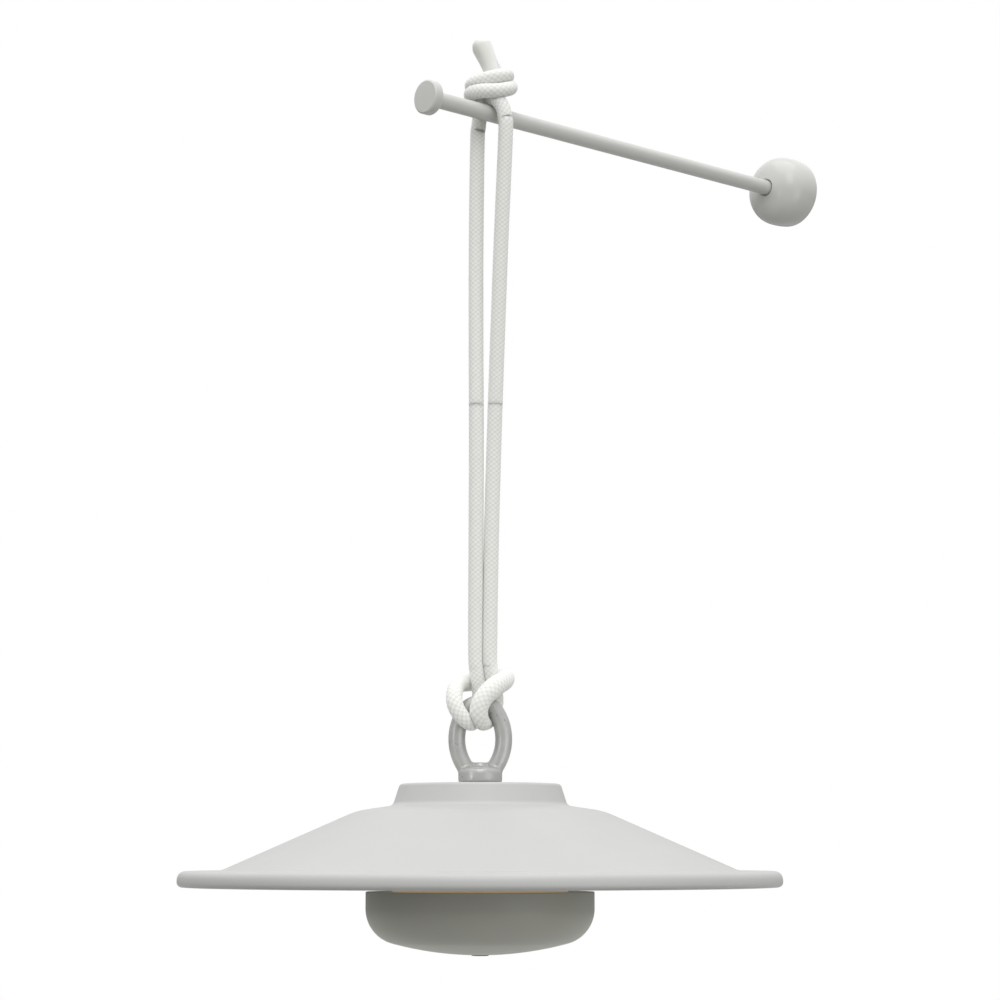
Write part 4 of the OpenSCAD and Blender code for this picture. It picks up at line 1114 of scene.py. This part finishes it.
class LAMP_OT_studio(bpy.types.Operator):
    """Makes the pale floor, the soft lights, the white surround and the camera"""

    bl_idname = "lamp.studio"
    bl_label = "Studio"

    def execute(self, context):
        sizes = context.scene.lamp.studio
        scene = context.scene
        self.make_floor(sizes)
        self.make_world(scene)
        for name, place, size, power in (
            ("overhead_softbox", (0.2, -0.6, 1.9), (2.2, 2.2), 15),
            ("front_softbox", (1.45, -1.65, 1.3), (1.4, 1.4), 11),
            ("left_window", (-0.07, -2.77, -0.1), (0.1, 0.7), 3.2),
            ("right_bounce", (1.6, -0.25, -0.6), (1.2, 1.2), 4.5),
        ):
            data = bpy.data.lights.new(name, "AREA")
            data.shape = "RECTANGLE"
            data.size, data.size_y = size
            data.energy = power
            light = bpy.data.objects.new(name, data)
            light.location = place
            aim = Vector((EYE_TOP.x, EYE_TOP.y, -0.3)) - Vector(place)
            light.rotation_euler = aim.to_track_quat("-Z", "Y").to_euler()
            scene.collection.objects.link(light)
        data = bpy.data.cameras.new("camera")
        data.lens = sizes.lens
        data.sensor_width = 36
        data.clip_start = 0.05
        camera = bpy.data.objects.new("camera", data)
        camera.location = sizes.camera_place
        camera.rotation_euler = Vector(sizes.camera_forward).to_track_quat("-Z", "Y").to_euler()
        scene.collection.objects.link(camera)
        scene.camera = camera
        scene.view_settings.view_transform = "Standard"
        return {"FINISHED"}

    def make_floor(self, sizes):
        """A round floor, pale to the camera and in reflections; its colour for bounced light is darker and painted
        darker outwards, a painted falloff of the light away from the set.
        """
        rows = ((0.0, 0.0), (1.5, 0.0), (3.0, 0.0), (6.0, 0.0))
        floor = lathe("floor", rows, lambda p: p + np.array((0, -0.3, sizes.floor_up)), 96, closed=False)
        if floor.data.polygons[0].normal.z < 0:
            floor.data.flip_normals()
        material, tree, surface, place = new_material("pale_floor", {"Roughness": 0.9})
        rays = add(tree, "ShaderNodeLightPath")
        away = add(tree, "ShaderNodeVectorMath", {"operation": "LENGTH"}, {0: place})
        share = add(
            tree, "ShaderNodeMapRange", {"From Min": 0.7, "From Max": 2.0}, {"Value": away.outputs["Value"]}
        )
        # Painted falloff of light: the floor's colour for bounced light darkens from the set outwards
        light = add(tree, "ShaderNodeValToRGB", links={"Fac": share.outputs["Result"]})
        light.color_ramp.elements[0].color = linear("#ACACAA")
        light.color_ramp.elements[1].color = linear("#464645")
        pick = add(
            tree, "ShaderNodeMix", {"data_type": "RGBA", 6: linear("#EDEDEB")},
            {0: rays.outputs["Is Diffuse Ray"], 7: light.outputs["Color"]},
        )
        tree.links.new(pick.outputs[2], surface.inputs["Base Color"])
        floor.data.materials.append(material)

    def make_world(self, scene):
        """A white surround: full white to the camera and through glass, brighter above as a light."""
        world = bpy.data.worlds.new("studio")
        world.use_nodes = True
        tree = world.node_tree
        tree.nodes.clear()
        rays = add(tree, "ShaderNodeLightPath")
        seen = add(
            tree, "ShaderNodeMath", {"operation": "MAXIMUM"},
            {0: rays.outputs["Is Camera Ray"], 1: rays.outputs["Is Transmission Ray"]},
        )
        place = add(tree, "ShaderNodeTexCoord").outputs["Generated"]
        height = add(tree, "ShaderNodeSeparateXYZ", links={0: place}).outputs["Z"]
        sky = add(
            tree, "ShaderNodeMapRange", {"From Min": -0.05, "From Max": 0.5, "To Min": 0.35, "To Max": 1.0},
            {"Value": height},
        )
        soft = add(
            tree, "ShaderNodeBackground", {"Color": linear("#FFFFFF")}, {"Strength": sky.outputs["Result"]}
        )
        white = add(tree, "ShaderNodeBackground", {"Color": linear("#FFFFFF"), "Strength": 1.0})
        mix = add(
            tree, "ShaderNodeMixShader",
            links={0: seen.outputs["Value"], 1: soft.outputs["Background"], 2: white.outputs["Background"]},
        )
        add(tree, "ShaderNodeOutputWorld", links={"Surface": mix.outputs["Shader"]})
        scene.world = world


class LAMP_PT_panel(bpy.types.Panel):
    """Lists the lamp's sizes, finishes and operators"""

    bl_label = "Hanging Lamp"
    bl_idname = "LAMP_PT_panel"
    bl_space_type = "VIEW_3D"
    bl_region_type = "UI"
    bl_category = "Lamp"

    def draw(self, context):
        settings = context.scene.lamp
        for name in settings.__annotations__:
            group = getattr(settings, name)
            box = self.layout.box()
            for key in group.__annotations__:
                box.prop(group, key)
        for operator in PIECES:
            self.layout.operator(operator.bl_idname)


GROUPS = (ArmSizes, ShadeSizes, EyeSizes, UnitSizes, RopeSizes, Finishes, StudioSettings, LampSettings)
PIECES = (
    LAMP_OT_finishes, LAMP_OT_rope, LAMP_OT_sleeve, LAMP_OT_arm, LAMP_OT_shade, LAMP_OT_eye, LAMP_OT_unit,
    LAMP_OT_button, LAMP_OT_diffuser, LAMP_OT_studio,
)


def register():
    for item in (*GROUPS, *PIECES, LAMP_PT_panel):
        bpy.utils.register_class(item)
    bpy.types.Scene.lamp = PointerProperty(type=LampSettings)


def unregister():
    del bpy.types.Scene.lamp
    for item in reversed((*GROUPS, *PIECES, LAMP_PT_panel)):
        bpy.utils.unregister_class(item)


def main():
    """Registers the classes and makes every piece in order."""
    register()
    for operator in PIECES:
        family, name = operator.bl_idname.split(".")
        getattr(getattr(bpy.ops, family), name)()


if __name__ == "__main__":
    main()
